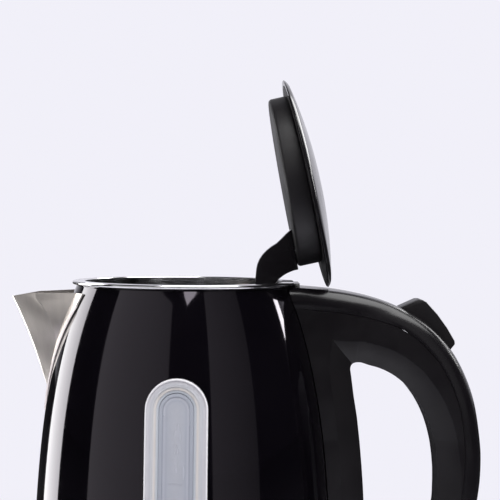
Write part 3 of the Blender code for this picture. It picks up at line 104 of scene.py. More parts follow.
SKIRT_R = 0.0765
SKIRT_WALL = 0.0022
SKIRT_OVERLAP = 0.0025      # how far the skirt laps up the steel body

CONNECTOR_R = 0.013
CONNECTOR_TOP = 0.029
SOCKET_WALL = 0.0024

SPOUT_TIP_X = 0.08685       # tip of the spout from the jug axis
SPOUT_TIP_DROP = 0.0087
SPOUT_TOP_DROP = 0.0058     # top edge of the spout where it meets the body
SPOUT_HALF_W = 0.0237       # half width of the spout at the body
SPOUT_DROP = 0.057          # lowest point of the spout
SPOUT_BEND_X = 0.0775       # nose curve's middle handle
SPOUT_BEND_DROP = 0.0267
SPOUT_NOSE_R = 0.0038
SPOUT_CREASE_X = 0.0763     # crease between front facet and flank, at the top edge
SPOUT_CREASE_W = 0.0093     # half width of the front facet there
CREASE_DEEP = 0.00035       # depth of the groove along the crease
SPOUT_CREASE_DROP = 0.031   # where the crease runs out on the body
SPOUT_WALL = 0.0009
FLANGE_W = 0.0062
FLANGE_THICK = 0.0008

WINDOW_W = 0.0284
WINDOW_TOP_DROP = 0.0416
WINDOW_BOTTOM_DROP = 0.1420
WINDOW_PROUD = 0.0008
WINDOW_STEPS = ((0.0010, 0.0004), (0.0036, 0.0008), (0.0050, 0.0012)) # its rings: in from the edge, down
PANE_W = 0.0158
MARKS = 7                   # raised level marks across the pane
MARK_TOP_DROP = 0.0880
MARK_PITCH = 0.0068
MARK_TALL = 0.0004
MARK_LONG = 0.0032
MARK_SHORT = 0.0020
SEAL_LAP = 0.0028
SEAL_THICK = 0.0012
CHANNEL_W = 0.0118
CHANNEL_WALL = 0.0010
CHANNEL_DEPTH = 0.0115
FLOAT_R = 0.0041
FLOAT_DROP = 0.0965         # where the float ball rests in the gauge

PIVOT_X = 0.060             # lid hinge axis from the jug axis
PIVOT_DROP = 0.0130
LID_OPEN_DEG = 77.2
LID_R = 0.0528
LID_EDGE = 0.0016           # thickness of the dome's edge
LID_CROWN = 0.0077          # crown above the flange
LID_SHELL = 0.0012
PLUG_R = 0.0423
PLUG_X = -0.0027
PLUG_DEPTH = 0.0105         # plug depth at its middle
PLUG_SLOPE = 0.0355         # the plug's floor falls towards the hinge
PLUG_WALL = 0.0020

LID_SCREW_X = 0.0320
LID_SCREW_Y = 0.0040

ARM_HALF_W = 0.0075
HOOK_IN_R = 0.0193          # inside of the gooseneck, round the pivot
ARM_BACK = [                # the gooseneck's outer side: angle round the pivot, and millimetres from it
    (182.5, 37.6), (187.0, 36.0), (191.5, 34.9), (196.5, 34.6), (201.5, 34.2), (206.5, 33.7), (211.0, 33.0),
    (215.5, 32.0), (219.5, 30.8), (224.0, 29.4), (229.0, 28.2), (235.0, 27.3), (241.0, 26.8), (247.0, 26.8)]
HUB_R = 0.0065
PIN_R = 0.0015
CHEEK_THICK = 0.0035
CHEEK_GAP = 0.0005
SPRING_WIRE = 0.0005        # radius of the wire

HANDLE_WALL = 0.0030
SEAM = 0.00022              # joint line between the handle's two mouldings
OPENING_CORNER = 0          # the sharp corner, as a place in the opening's outline
HANDLE_CAVITY_HALF = 0.0085
HANDLE_ROUND = 0.0085       # radius along the outside
HANDLE_EDGE = 0.0012        # softened edge of the opening
HANDLE_CHAMFER = 0.0105     # broad bevel round the opening, across the side
HANDLE_CHAMFER_DEEP = 0.0044
BUTTON_X = 0.121
BUTTON_DROP = 0.0195
BUTTON_TILT = math.radians(39.2)
BUTTON_HALF_W = 0.0088
BUTTON_TRAVEL = 0.003
BUTTON_LEFT = -0.0148       # the button's ends and underside, along and out of its face
BUTTON_RIGHT = 0.0172
BUTTON_FLOOR = -0.0085
SPRING_SEAT = -0.0200       # what the button's spring stands on
SPRING_ALONG = 0.006
SPRING_R = 0.0026
LATCH_TRAVEL = 0.002
LATCH_HALF_W = 0.0040
STEAM_TUBE_R = 0.0034
STEAM_X_LOW = 0.0815        # where the steam tube runs down to the switch

LEVER_X = 0.0885            # switch lever pivot
LEVER_Z = 0.0330
LEVER_HALF_W = 0.0105
LEVER_PIN_R = 0.0015
HOUSE_HALF_W = 0.0140       # housing of the switch, behind the skirt
HOUSE_WALL = 0.0020
SCREW_R = 0.0012
HANDLE_SCREW_X = 0.0885
HANDLE_SCREW_Y = 0.0085
HANDLE_BOTTOM_DROP = 0.1670

PLATE_Z = 0.0455            # underside of the heater plate
PLATE_THICK = 0.0012
PLATE_SEAL_W = 0.0030
DIFFUSER_R = 0.052
DIFFUSER_THICK = 0.0024
ELEMENT_RING_R = 0.040
ELEMENT_R = 0.0032
CONTROL_HALF_W = 0.019

SEGMENTS = 192              # sides of the jug's large round pieces
FINE_SEGMENTS = 64          # sides of small ones
CURVE_STEPS = 5             # points from knot to knot along the handle's outlines

HOUSE_TOP = RIM_Z - HANDLE_BOTTOM_DROP - GAP

PIVOT = Vector((PIVOT_X, 0.0, RIM_Z - PIVOT_DROP))
BODY_TOP_DROP = RIM_THICK + RIM_BEAD * 0.2 + GAP
BODY_BOTTOM_Z = RIM_Z - BODY_DROP
CHEEK_IN = ARM_HALF_W + CHEEK_GAP
CHEEK_OUT = CHEEK_IN + CHEEK_THICK
SLOT_HALF = CHEEK_OUT + GAP
SLOT_DROP = 0.0286
HOUSING_BACK = 0.0712       # hinge housing in the handle's root
HOUSING_TOP_DROP = 0.0047

BODY_OF = {}                # CAD node name to its body, filled from the frame
LOOKS = {}                  # CAD node name to the material its piece wears

parts = bpy.data.collections.new("electric_kettle_look")
cutters = bpy.data.collections.new("cutters")
OPENED = (Matrix.Translation(PIVOT) @ Matrix.Rotation(math.radians(LID_OPEN_DEG), 4, "Y")
          @ Matrix.Translation(-PIVOT))


# ---- materials ----
# colours in rings round the window's middle line, by millimetres from it: the plastic's own tint with painted
# highlights and painted shade along the frame's rings and the pane's step
FRAME_TINT_AND_SHADE = [
    (7.9, (0.38, 0.41, 0.47)), (8.7, (0.48, 0.50, 0.55)), (9.6, (0.62, 0.58, 0.56)),
    (10.5, (0.55, 0.55, 0.58)), (11.6, (0.47, 0.475, 0.52)), (12.6, (0.54, 0.53, 0.57)),
    (13.5, (0.56, 0.55, 0.59)), (13.8, (0.84, 0.83, 0.86))]
PANE_TINT_AND_SHADE = [
    (0.0, (0.48, 0.49, 0.55)), (3.6, (0.46, 0.475, 0.54)), (4.4, (0.41, 0.43, 0.50)),
    (5.4, (0.50, 0.51, 0.58)), (6.0, (0.37, 0.39, 0.46)), (6.6, (0.43, 0.45, 0.52)),
    (7.8, (0.41, 0.43, 0.50))]


def new_material(name, color, roughness, metallic=0.0):
    made = bpy.data.materials.new(name)
    made.use_nodes = True
    shader = made.node_tree.nodes["Principled BSDF"]
    shader.inputs["Base Color"].default_value = (*color, 1.0)
    shader.inputs["Roughness"].default_value = roughness
    shader.inputs["Metallic"].default_value = metallic
    return made, made.node_tree, shader


def placed(tree, scale=(1.0, 1.0, 1.0)):
    """Object coordinates, stretched."""
    source = tree.nodes.new("ShaderNodeTexCoord")
    mapping = tree.nodes.new("ShaderNodeMapping")
    mapping.inputs["Scale"].default_value = scale
    tree.links.new(source.outputs["Object"], mapping.inputs["Vector"])
    return mapping.outputs["Vector"]


def position(tree):
    """Object coordinates as three numbers, by name."""
    source = tree.nodes.new("ShaderNodeTexCoord")
    split = tree.nodes.new("ShaderNodeSeparateXYZ")
    tree.links.new(source.outputs["Object"], split.inputs[0])
    return split.outputs


def joined(tree, *numbers):
    node = tree.nodes.new("ShaderNodeCombineXYZ")
    for socket, number in zip(node.inputs, numbers):
        tree.links.new(number, socket)
    return node.outputs[0]


def length_of(tree, vector):
    node = tree.nodes.new("ShaderNodeVectorMath")
    node.operation = "LENGTH"
    tree.links.new(vector, node.inputs[0])
    return node.outputs["Value"]


def around_axis(tree, turns, rise):
    """Coordinates (angle about the jug's axis, height, radius), for marks that run round a piece."""
    here = position(tree)
    angle = math_node(tree, "ARCTAN2", here["Y"], here["X"])
    radius = length_of(tree, joined(tree, here["X"], here["Y"]))
    scaled = ((angle, turns), (here["Z"], rise), (radius, rise))
    return joined(tree, *(math_node(tree, "MULTIPLY", number, factor) for number, factor in scaled))


def math_node(tree, operation, first, second):
    node = tree.nodes.new("ShaderNodeMath")
    node.operation = operation
    for socket, value in zip(node.inputs, (first, second)):
        if isinstance(value, (int, float)):
            socket.default_value = value
        else:
            tree.links.new(value, socket)
    return node.outputs[0]


def noise(tree, vector, scale, detail=4.0, roughness=0.55):
    node = tree.nodes.new("ShaderNodeTexNoise")
    node.inputs["Scale"].default_value = scale
    node.inputs["Detail"].default_value = detail
    node.inputs["Roughness"].default_value = roughness
    tree.links.new(vector, node.inputs["Vector"])
    return node.outputs["Fac"]


def ranged(tree, value, low, high, from_low=0.3, from_high=0.7):
    node = tree.nodes.new("ShaderNodeMapRange")
    for name, number in (("From Min", from_low), ("From Max", from_high), ("To Min", low), ("To Max", high)):
        node.inputs[name].default_value = number
    tree.links.new(value, node.inputs["Value"])
    return node.outputs["Result"]


def tinted(tree, value, first, second, low=0.3, high=0.7):
    node = tree.nodes.new("ShaderNodeValToRGB")
    node.color_ramp.elements[0].position = low
    node.color_ramp.elements[1].position = high
    node.color_ramp.elements[0].color = (*first, 1.0)
    node.color_ramp.elements[1].color = (*second, 1.0)
    tree.links.new(value, node.inputs["Fac"])
    return node.outputs["Color"]


def dress(tree, shader, color, roughness, height, depth):
    """Colour, roughness and a relief of a real depth in metres for a shader. Colour None is set elsewhere."""
    if color:
        tree.links.new(color, shader.inputs["Base Color"])
    tree.links.new(roughness, shader.inputs["Roughness"])
    node = tree.nodes.new("ShaderNodeBump")
    node.inputs["Strength"].default_value = 1.0
    node.inputs["Distance"].default_value = depth
    tree.links.new(height, node.inputs["Height"])
    tree.links.new(node.outputs["Normal"], shader.inputs["Normal"])


def darkened(color, share):
    return tuple(min(1.0, channel * share) for channel in color)


def plastic(name, color, roughness, grain=1800.0, depth=0.00003, spread=0.08, tone=1.35):
    """Moulded plastic: a fine grain, a faint flow in the tone, and handling that polishes it unevenly."""
    made, tree, shader = new_material(name, color, roughness)
    here = placed(tree)
    flow = tinted(tree, noise(tree, here, 22.0, 3.0), color, darkened(color, tone))
    worn = ranged(tree, noise(tree, here, 60.0, 5.0), roughness - spread, roughness + spread)
    dress(tree, shader, flow, worn, noise(tree, here, grain, 2.0), depth)
    return made


def lacquer():
    """Sprayed gloss black over steel: deep, smooth, with a very slight orange peel."""
    made, tree, shader = new_material("black_lacquer", (0.0022, 0.0018, 0.0028), 0.06)
    shader.inputs["Specular Tint"].default_value = (0.95, 0.83, 1.0, 1.0)
    shader.inputs["Coat Weight"].default_value = 0.3
    shader.inputs["Coat Roughness"].default_value = 0.03
    here = placed(tree)
    flow = tinted(tree, noise(tree, here, 30.0, 2.0), (0.0018, 0.0014, 0.0024), (0.0026, 0.0021, 0.0033))
    worn = ranged(tree, noise(tree, here, 90.0, 3.0), 0.045, 0.08)
    dress(tree, shader, flow, worn, noise(tree, here, 420.0, 2.0), 0.0000022)
    return made


def brushed(name, color, roughness, along, streak=260.0, depth=0.000006, spread=0.07):
    """Brushed metal. along is the coordinate scale: small along the brush lines and large across them."""
    made, tree, shader = new_material(name, color, roughness, 1.0)
    lines = noise(tree, placed(tree, along), streak, 6.0, 0.6)
    cloud = noise(tree, placed(tree), 35.0, 3.0)
    worn = math_node(tree, "ADD", math_node(tree, "MULTIPLY", lines, 0.7),
                     math_node(tree, "MULTIPLY", cloud, 0.3))
    dress(tree, shader, tinted(tree, lines, darkened(color, 0.92), color, 0.25, 0.75),
          ranged(tree, worn, roughness - spread, roughness + spread), lines, depth)
    return made


def turned_metal(name, color, roughness):
    """Metal polished on a lathe, with lines round the jug's axis."""
    made, tree, shader = new_material(name, color, roughness, 1.0)
    lines = noise(tree, around_axis(tree, 0.35, 90.0), 14.0, 6.0, 0.65)
    dress(tree, shader, tinted(tree, lines, darkened(color, 0.78), color),
          ranged(tree, lines, roughness - 0.05, roughness + 0.08), lines, 0.000004)
    return made


def cast_metal(name, color, roughness):
    """Plain metal: plated wire, screws and stampings, with a light tarnish."""
    made, tree, shader = new_material(name, color, roughness, 1.0)
    here = placed(tree)
    stain = noise(tree, here, 140.0, 5.0)
    dress(tree, shader, tinted(tree, stain, darkened(color, 0.72), color),
          ranged(tree, stain, roughness + 0.1, roughness - 0.04), noise(tree, here, 500.0, 3.0), 0.00001)
    return made


def from_window_middle(tree):
    """Distance from the water window's upright middle line, between the centres of its round ends."""
    here = position(tree)
    middle = RIM_Z - (WINDOW_TOP_DROP + WINDOW_BOTTOM_DROP) / 2
    straight = (WINDOW_BOTTOM_DROP - WINDOW_TOP_DROP - WINDOW_W) / 2
    along = math_node(tree, "ABSOLUTE", math_node(tree, "SUBTRACT", here["Z"], middle), 0.0)
    beyond = math_node(tree, "MAXIMUM", math_node(tree, "SUBTRACT", along, straight), 0.0)
    squares = math_node(tree, "ADD", math_node(tree, "MULTIPLY", here["X"], here["X"]),
                        math_node(tree, "MULTIPLY", beyond, beyond))
    return math_node(tree, "SQRT", squares, 0.0)


def ringed(tree, shader, bands):
    """Colour in rings round the window's middle line, tint with painted highlights and painted shade. Each
    band is (distance from it in mm, colour).
    """
    node = tree.nodes.new("ShaderNodeValToRGB")
    reach = WINDOW_W / 2
    tree.links.new(math_node(tree, "DIVIDE", from_window_middle(tree), reach), node.inputs["Fac"])
    stops = node.color_ramp.elements
    while len(stops) < len(bands):
        stops.new(0.5)
    for stop, (distance, color) in zip(stops, bands):
        stop.position = distance * MM / reach
        stop.color = (*color, 1.0)
    tree.links.new(node.outputs["Color"], shader.inputs["Base Color"])


def frosted():
    """Frosted plastic of the window's surround: its tint with painted highlights and painted shade in rings,
    and fine upright flutes.
    """
    made, tree, shader = new_material("frosted_plastic", (0.72, 0.73, 0.77), 0.30)
    shader.inputs["Subsurface Weight"].default_value = 0.1
    shader.inputs["Subsurface Radius"].default_value = (0.002, 0.002, 0.002)
    # rings of tint with painted highlights and painted shade on the frame
    ringed(tree, shader, FRAME_TINT_AND_SHADE)
    flutes = noise(tree, placed(tree, (1.0, 0.2, 0.03)), 420.0, 2.0, 0.5)
    dress(tree, shader, None, ranged(tree, flutes, 0.22, 0.36), flutes, 0.000008)
    return made


def tinted_clear(name, color, transmission, roughness, bands=()):
    """Clear tinted plastic, hazed by use and scale. With bands its colour is painted in rings: tint with
    painted highlights and painted shade.
    """
    made, tree, shader = new_material(name, color, roughness)
    shader.inputs["Transmission Weight"].default_value = transmission
    shader.inputs["IOR"].default_value = 1.49
    haze = noise(tree, placed(tree, (1.0, 1.0, 0.12)), 260.0, 2.0, 0.5)
    if bands:
        ringed(tree, shader, bands)
    worn = ranged(tree, haze, roughness - 0.03, roughness + 0.05)
    dress(tree, shader, None if bands else tinted(tree, haze, darkened(color, 0.93), color), worn,
          noise(tree, placed(tree), 700.0, 2.0), 0.00001)
    return made


def all_looks():
    """One material for each kind of piece, by CAD node name."""
    shell = plastic("grip_plastic", (0.0042, 0.0034, 0.0044), 0.36, 2300.0, 0.000020)
    satin = plastic("satin_plastic", (0.0052, 0.0044, 0.0056), 0.24, 1500.0, 0.000002, 0.04)
    gloss = plastic("gloss_plastic", (0.0055, 0.0050, 0.0060), 0.15, 900.0, 0.000004, 0.05)
    shell.node_tree.nodes["Principled BSDF"].inputs["Specular IOR Level"].default_value = 0.35
    matte = plastic("matte_plastic", (0.0045, 0.0036, 0.0048), 0.50, 2600.0, 0.00002)
    lining = turned_metal("steel_lining", (0.30, 0.29, 0.29), 0.34)
    polished = turned_metal("polished_rim", (0.86, 0.86, 0.88), 0.13)
    spout_steel = brushed("brushed_steel", (0.97, 0.90, 0.85), 0.35, (1.0, 1.0, 0.06), 420.0, 0.000001, 0.03)
    zinc = cast_metal("zinc_plate", (0.66, 0.66, 0.70), 0.28)
    rubber = plastic("foot_rubber", (0.018, 0.018, 0.019), 0.78, 1300.0, 0.00006)
    silicone = plastic("silicone", (0.50, 0.50, 0.51), 0.55, 900.0, 0.00003, 0.1, 1.15)
    nylon = plastic("nylon", (0.60, 0.58, 0.53), 0.45, 1500.0, 0.00003, 0.1, 1.15)
    # the pane's rings: its tint with painted highlights and painted shade along its step
    clear = tinted_clear("window_clear", (0.62, 0.65, 0.74), 0.18, 0.24, PANE_TINT_AND_SHADE)
    channel = tinted_clear("gauge_clear", (0.78, 0.80, 0.86), 0.35, 0.35)
    bimetal = cast_metal("bimetal", (0.72, 0.58, 0.34), 0.3)
    looks = {"jug_body": [lacquer(), lining]}
    for look, nodes in (
            (polished, "rim_ring"), (spout_steel, "spout"),
            (cast_metal("filter_steel", (0.5, 0.5, 0.5), 0.35), "spout_filter"),
            (frosted(), "window_frame"), (clear, "window_pane"), (channel, "gauge_channel"),
            (silicone, "window_seal plate_seal"),
            (plastic("float_plastic", (0.016, 0.017, 0.022), 0.35, 900.0, 0.00002), "level_float"),
            (turned_metal("plate_steel", (0.62, 0.61, 0.60), 0.30), "heater_plate"),
            (cast_metal("diffuser_sheet", (0.7, 0.7, 0.71), 0.35), "heat_diffuser"),
            (cast_metal("element_sheath", (0.30, 0.28, 0.26), 0.5), "heating_element"),
            (nylon, "thermostat_control jug_connector latch_slider steam_tube"), (bimetal, "steam_switch"),
            (gloss, "lid_dome jug_skirt switch_lever base_shell"),
            (matte, "lid_liner jug_bottom_cover base_bottom_cover base_connector"),
            (satin, "lid_arm hinge_housing handle_cover"), (shell, "handle_shell release_button"),
            (tinted_clear("lamp_lens", (0.62, 0.08, 0.06), 0.4, 0.18), "switch_lens"),
            (rubber, "cord_gland"), (zinc, "hinge_pin lid_spring button_spring")):
        looks.update({node: [look] for node in nodes.split()})
    for node in BODY_OF:
        if "_screw_" in node:
            looks[node] = [zinc]
        if "_foot_" in node:
            looks[node] = [rubber]
    return looks


# ---- from shape to piece ----
def add_object(name, mesh, is_cutter=False):
    made = bpy.data.objects.new(name, mesh)
    (cutters if is_cutter else parts).objects.link(made)
    return made


def from_bmesh(work, name, is_cutter=False):
    """A mesh object of what a bmesh holds. The bmesh is freed."""
    mesh = bpy.data.meshes.new(name)
    work.to_mesh(mesh)
    work.free()
    return add_object(name, mesh, is_cutter)


def bridge(work, rows):
    """Faces between neighbouring closed rows of corners, with a cap on the first and the last."""
    for first, second in zip(rows, rows[1:]):
        for index in range(len(first)):
            after = (index + 1) % len(first)
            work.faces.new((first[index], first[after], second[after], second[index]))
    work.faces.new(rows[0])
    work.faces.new(rows[-1])


def smooth(mesh, angle_deg=32.0):
    mesh.shade_smooth()
    mesh.set_sharp_from_angle(angle=math.radians(angle_deg))


def finish(thing, opened=False, angle_deg=32.0):
    """Bake a shape named for a CAD node into the piece that stands for it, in its look and on its body."""
    node = thing.name.split(".")[0]
    piece = flat(thing, node + "_look")
    if opened:
        piece.data.transform(OPENED)
    smooth(piece.data, angle_deg)
    for look in LOOKS[node]:
        piece.data.materials.append(look)
    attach(piece, BODY_OF[node])
    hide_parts(node)
    return piece


def keep_cad(node, bevel=0.0003):
    """A CAD node whose shape is right: it gets its look and softened edges."""
    thing = frame_nodes[node]
    thing.data.materials.clear()
    for look in LOOKS[node]:
        thing.data.materials.append(look)
    smooth(thing.data, 30.0)
    if bevel:
        weld = thing.modifiers.new("weld", "WELD")
        weld.merge_threshold = 0.00001
        edge = thing.modifiers.new("edge", "BEVEL")
        edge.width = bevel
        edge.segments = 2
        edge.limit_method = "ANGLE"
        edge.angle_limit = math.radians(40)
        edge.harden_normals = True


# ---- shapes ----
def boolean(thing, other, operation="DIFFERENCE", solver="EXACT"):
    step = thing.modifiers.new(operation.lower(), "BOOLEAN")
    step.operation = operation
    step.solver = solver
    step.object = other
    return thing


def flat(thing, name, is_cutter=False):
    """A plain mesh object of what the modifiers or the curve make, in place of the thing itself."""
    bpy.context.view_layer.update()
    graph = bpy.context.evaluated_depsgraph_get()
    mesh = bpy.data.meshes.new_from_object(thing.evaluated_get(graph))
    mesh.transform(thing.matrix_world)
    work = bmesh.new()
    work.from_mesh(mesh)
    bmesh.ops.remove_doubles(work, verts=work.verts, dist=1e-6)
    bmesh.ops.recalc_face_normals(work, faces=work.faces)
    work.to_mesh(mesh)
    work.free()
    mesh.materials.clear()
    bpy.data.objects.remove(thing, do_unlink=True)
    return add_object(name, mesh, is_cutter)


def turned(name, profile, closed=True, segments=SEGMENTS, is_cutter=False):
    """A profile of (radius, z) turned about Z. It runs down its outer side."""
    work = bmesh.new()
    points = [work.verts.new((radius, 0.0, z)) for radius, z in profile]
    for first, second in zip(points, points[1:]):
        work.edges.new((first, second))
    if closed:
        work.edges.new((points[-1], points[0]))
    thing = from_bmesh(work, name, is_cutter)
    screw = thing.modifiers.new("turn", "SCREW")
    screw.axis = "Z"
    screw.angle = 2.0 * math.pi
    screw.steps = segments
    screw.render_steps = segments
    screw.use_merge_vertices = True
    screw.merge_threshold = 1e-5
    return thing


def ring(name, outer, inner, top, bottom, segments=SEGMENTS, is_cutter=False):
    profile = [(outer, top), (outer, bottom), (inner, bottom), (inner, top)]
    return turned(name, profile, True, segments, is_cutter)


def disc(name, radius, top, bottom, segments=FINE_SEGMENTS, is_cutter=False):
    profile = [(0.0, top), (radius, top), (radius, bottom), (0.0, bottom)]
    return turned(name, profile, False, segments, is_cutter)


def moved(thing, x=0.0, y=0.0, z=0.0):
    thing.location = (x, y, z)
    return thing


def box(name, low, high, is_cutter=False):
    work = bmesh.new()
    bmesh.ops.create_cube(work, size=1.0)
    size = Vector(high) - Vector(low)
    middle = (Vector(high) + Vector(low)) / 2
    place = Matrix.Translation(middle) @ Matrix.Diagonal((*size, 1.0))
    bmesh.ops.transform(work, matrix=place, verts=work.verts)
    return from_bmesh(work, name, is_cutter)


def rod(name, start, end, radius, segments=FINE_SEGMENTS, is_cutter=False):
    """A round bar between two points."""
    start, end = Vector(start), Vector(end)
    along = end - start
    work = bmesh.new()
    turn = along.to_track_quat("Z", "Y").to_matrix().to_4x4()
    place = Matrix.Translation((start + end) / 2) @ turn
    bmesh.ops.create_cone(work, cap_ends=True, segments=segments, radius1=radius, radius2=radius,
                          depth=along.length, matrix=place)
    return from_bmesh(work, name, is_cutter)


def outline_curve(name, outlines, half_thickness, resolution=6):
    """Flat filled outlines. Each is a kind, POLY or SMOOTH, and its points. One inside another is a hole."""
    curve = bpy.data.curves.new(name, "CURVE")
    curve.dimensions = "2D"
    curve.fill_mode = "BOTH"
    curve.extrude = half_thickness
    curve.resolution_u = resolution
    for kind, points in outlines:
        spline = curve.splines.new("BEZIER")
        spline.bezier_points.add(len(points) - 1)
        spline.use_cyclic_u = True
        for knot, place in zip(spline.bezier_points, points):
            knot.co = (place[0], place[1], 0.0)
            corner = kind == "POLY" or len(place) > 2
            knot.handle_left_type = "VECTOR" if corner else "AUTO"
            knot.handle_right_type = "VECTOR" if corner else "AUTO"
    return curve


FRONT = (-0.1, -0.03)          # how deep a flat cutter reaches through the jug's wall on one side
PLANES = {
    "XZ": Matrix.Rotation(math.radians(90), 4, "X"),
    "YZ": Matrix.Rotation(math.radians(90), 4, "Z") @ Matrix.Rotation(math.radians(90), 4, "X"),
    "XY": Matrix.Identity(4),
}


def slab(name, outlines, low, high, plane="XZ", resolution=12, is_cutter=False):
    """Flat outlines in a plane, thick from low to high along the plane's normal (Y, X or Z)."""
    if isinstance(outlines[0][0], float):
        outlines = [("POLY", outlines)]
    thing = bpy.data.objects.new(name, outline_curve(name, outlines, (high - low) / 2, resolution))
    parts.objects.link(thing)
    middle = (high + low) / 2
    shift = {"XZ": (0, middle, 0), "YZ": (middle, 0, 0), "XY": (0, 0, middle)}[plane]
    thing.matrix_world = Matrix.Translation(shift) @ PLANES[plane]
    return flat(thing, name, is_cutter)


def tube(name, points, radius, sides, is_cutter=False):
    """A round wire or tube along a smooth curve through the points."""
    curve = bpy.data.curves.new(name, "CURVE")
    curve.dimensions = "3D"
    curve.bevel_depth = radius
    curve.bevel_resolution = sides
    curve.use_fill_caps = True
    curve.resolution_u = 2
    spline = curve.splines.new("BEZIER")
    spline.bezier_points.add(len(points) - 1)
    for knot, place in zip(spline.bezier_points, points):
        knot.co = place
        knot.handle_left_type = "AUTO"
        knot.handle_right_type = "AUTO"
    thing = bpy.data.objects.new(name, curve)
    parts.objects.link(thing)
    return flat(thing, name, is_cutter)


# ---- the jug's outline ----
def body_curve(share):
    """Point (radius, drop) on the jug's outer curve, share 0 at the top to 1 at the bottom."""
    knots = [(NECK_R, BODY_TOP_DROP), (NECK_R + SHOULDER_OUT, SHOULDER_DROP),
             (BELLY_R, BODY_DROP - BELLY_RISE), (BELLY_R, BODY_DROP)]
    weights = [(1 - share) ** 3, 3 * share * (1 - share) ** 2, 3 * share ** 2 * (1 - share), share ** 3]
    radius = sum(weight * knot[0] for weight, knot in zip(weights, knots))
    drop = sum(weight * knot[1] for weight, knot in zip(weights, knots))
    return radius, drop


def share_at(drop_of, drop):
    """The share, 0 to 1, at which a curve that runs down reaches a drop."""
    low, high = 0.0, 1.0
    for _ in range(40):
        middle = (low + high) / 2
        if drop_of(middle) < drop:
            low = middle
        else:
            high = middle
    return low


def body_radius(drop):
    """The jug's outer radius at a drop below the rim plane."""
    return body_curve(share_at(lambda share: body_curve(share)[1], drop))[0]


def body_layer(name, outward, inward, top_drop, bottom_drop, steps=9, segments=SEGMENTS, is_cutter=False):
    """A turned layer that follows the jug's curve, from inward to outward of its outer surface."""
    drops = [top_drop + (bottom_drop - top_drop) * index / steps for index in range(steps + 1)]
    outside = [(body_radius(drop) + outward, RIM_Z - drop) for drop in drops]
    inside = [(body_radius(drop) + inward, RIM_Z - drop) for drop in reversed(drops)]
    return turned(name, outside + inside, True, segments, is_cutter)


def body_plug(name, outward):
    """The whole inside of the jug's outer surface, as one solid, grown by outward."""
    shares = [index / 40 for index in range(41)]
    wall = [(body_curve(share)[0] + outward, RIM_Z - body_curve(share)[1]) for share in shares]
    top = [(0.0, RIM_Z + 0.03), (wall[0][0], RIM_Z + 0.03)]
    bottom = [(wall[-1][0], BODY_BOTTOM_Z - 0.03), (0.0, BODY_BOTTOM_Z - 0.03)]
    return turned(name, top + wall + bottom, False, SEGMENTS, True)


def stadium(half_width, top_drop, bottom_drop):
    """A long slot outline (x, z) with round ends."""
    points, steps = [], 24
    for centre_drop, first in ((top_drop + half_width, 0.0), (bottom_drop - half_width, math.pi)):
        for index in range(steps + 1):
            angle = first + math.pi * index / steps
            points.append((half_width * math.cos(angle), RIM_Z - centre_drop + half_width * math.sin(angle)))
    return points


def around(radius, count, first_deg):
    """Numbers from 1 and places (x, y), evenly round the jug's axis."""
    for index in range(count):
        angle = math.radians(first_deg + 360 // count * index)
        yield index + 1, radius * math.cos(angle), radius * math.sin(angle)


def screw(name, place, shank_r, head_r, tip, taper, seat, bottom):
    """A screw that points up: its tip, the plane its head bears on, and its head's underside, by height."""
    profile = [(0.0, tip), (shank_r, tip - taper), (shank_r, seat), (head_r, seat), (head_r, bottom),
               (0.0, bottom)]
    finish(moved(turned(name, profile, False, FINE_SEGMENTS), *place))


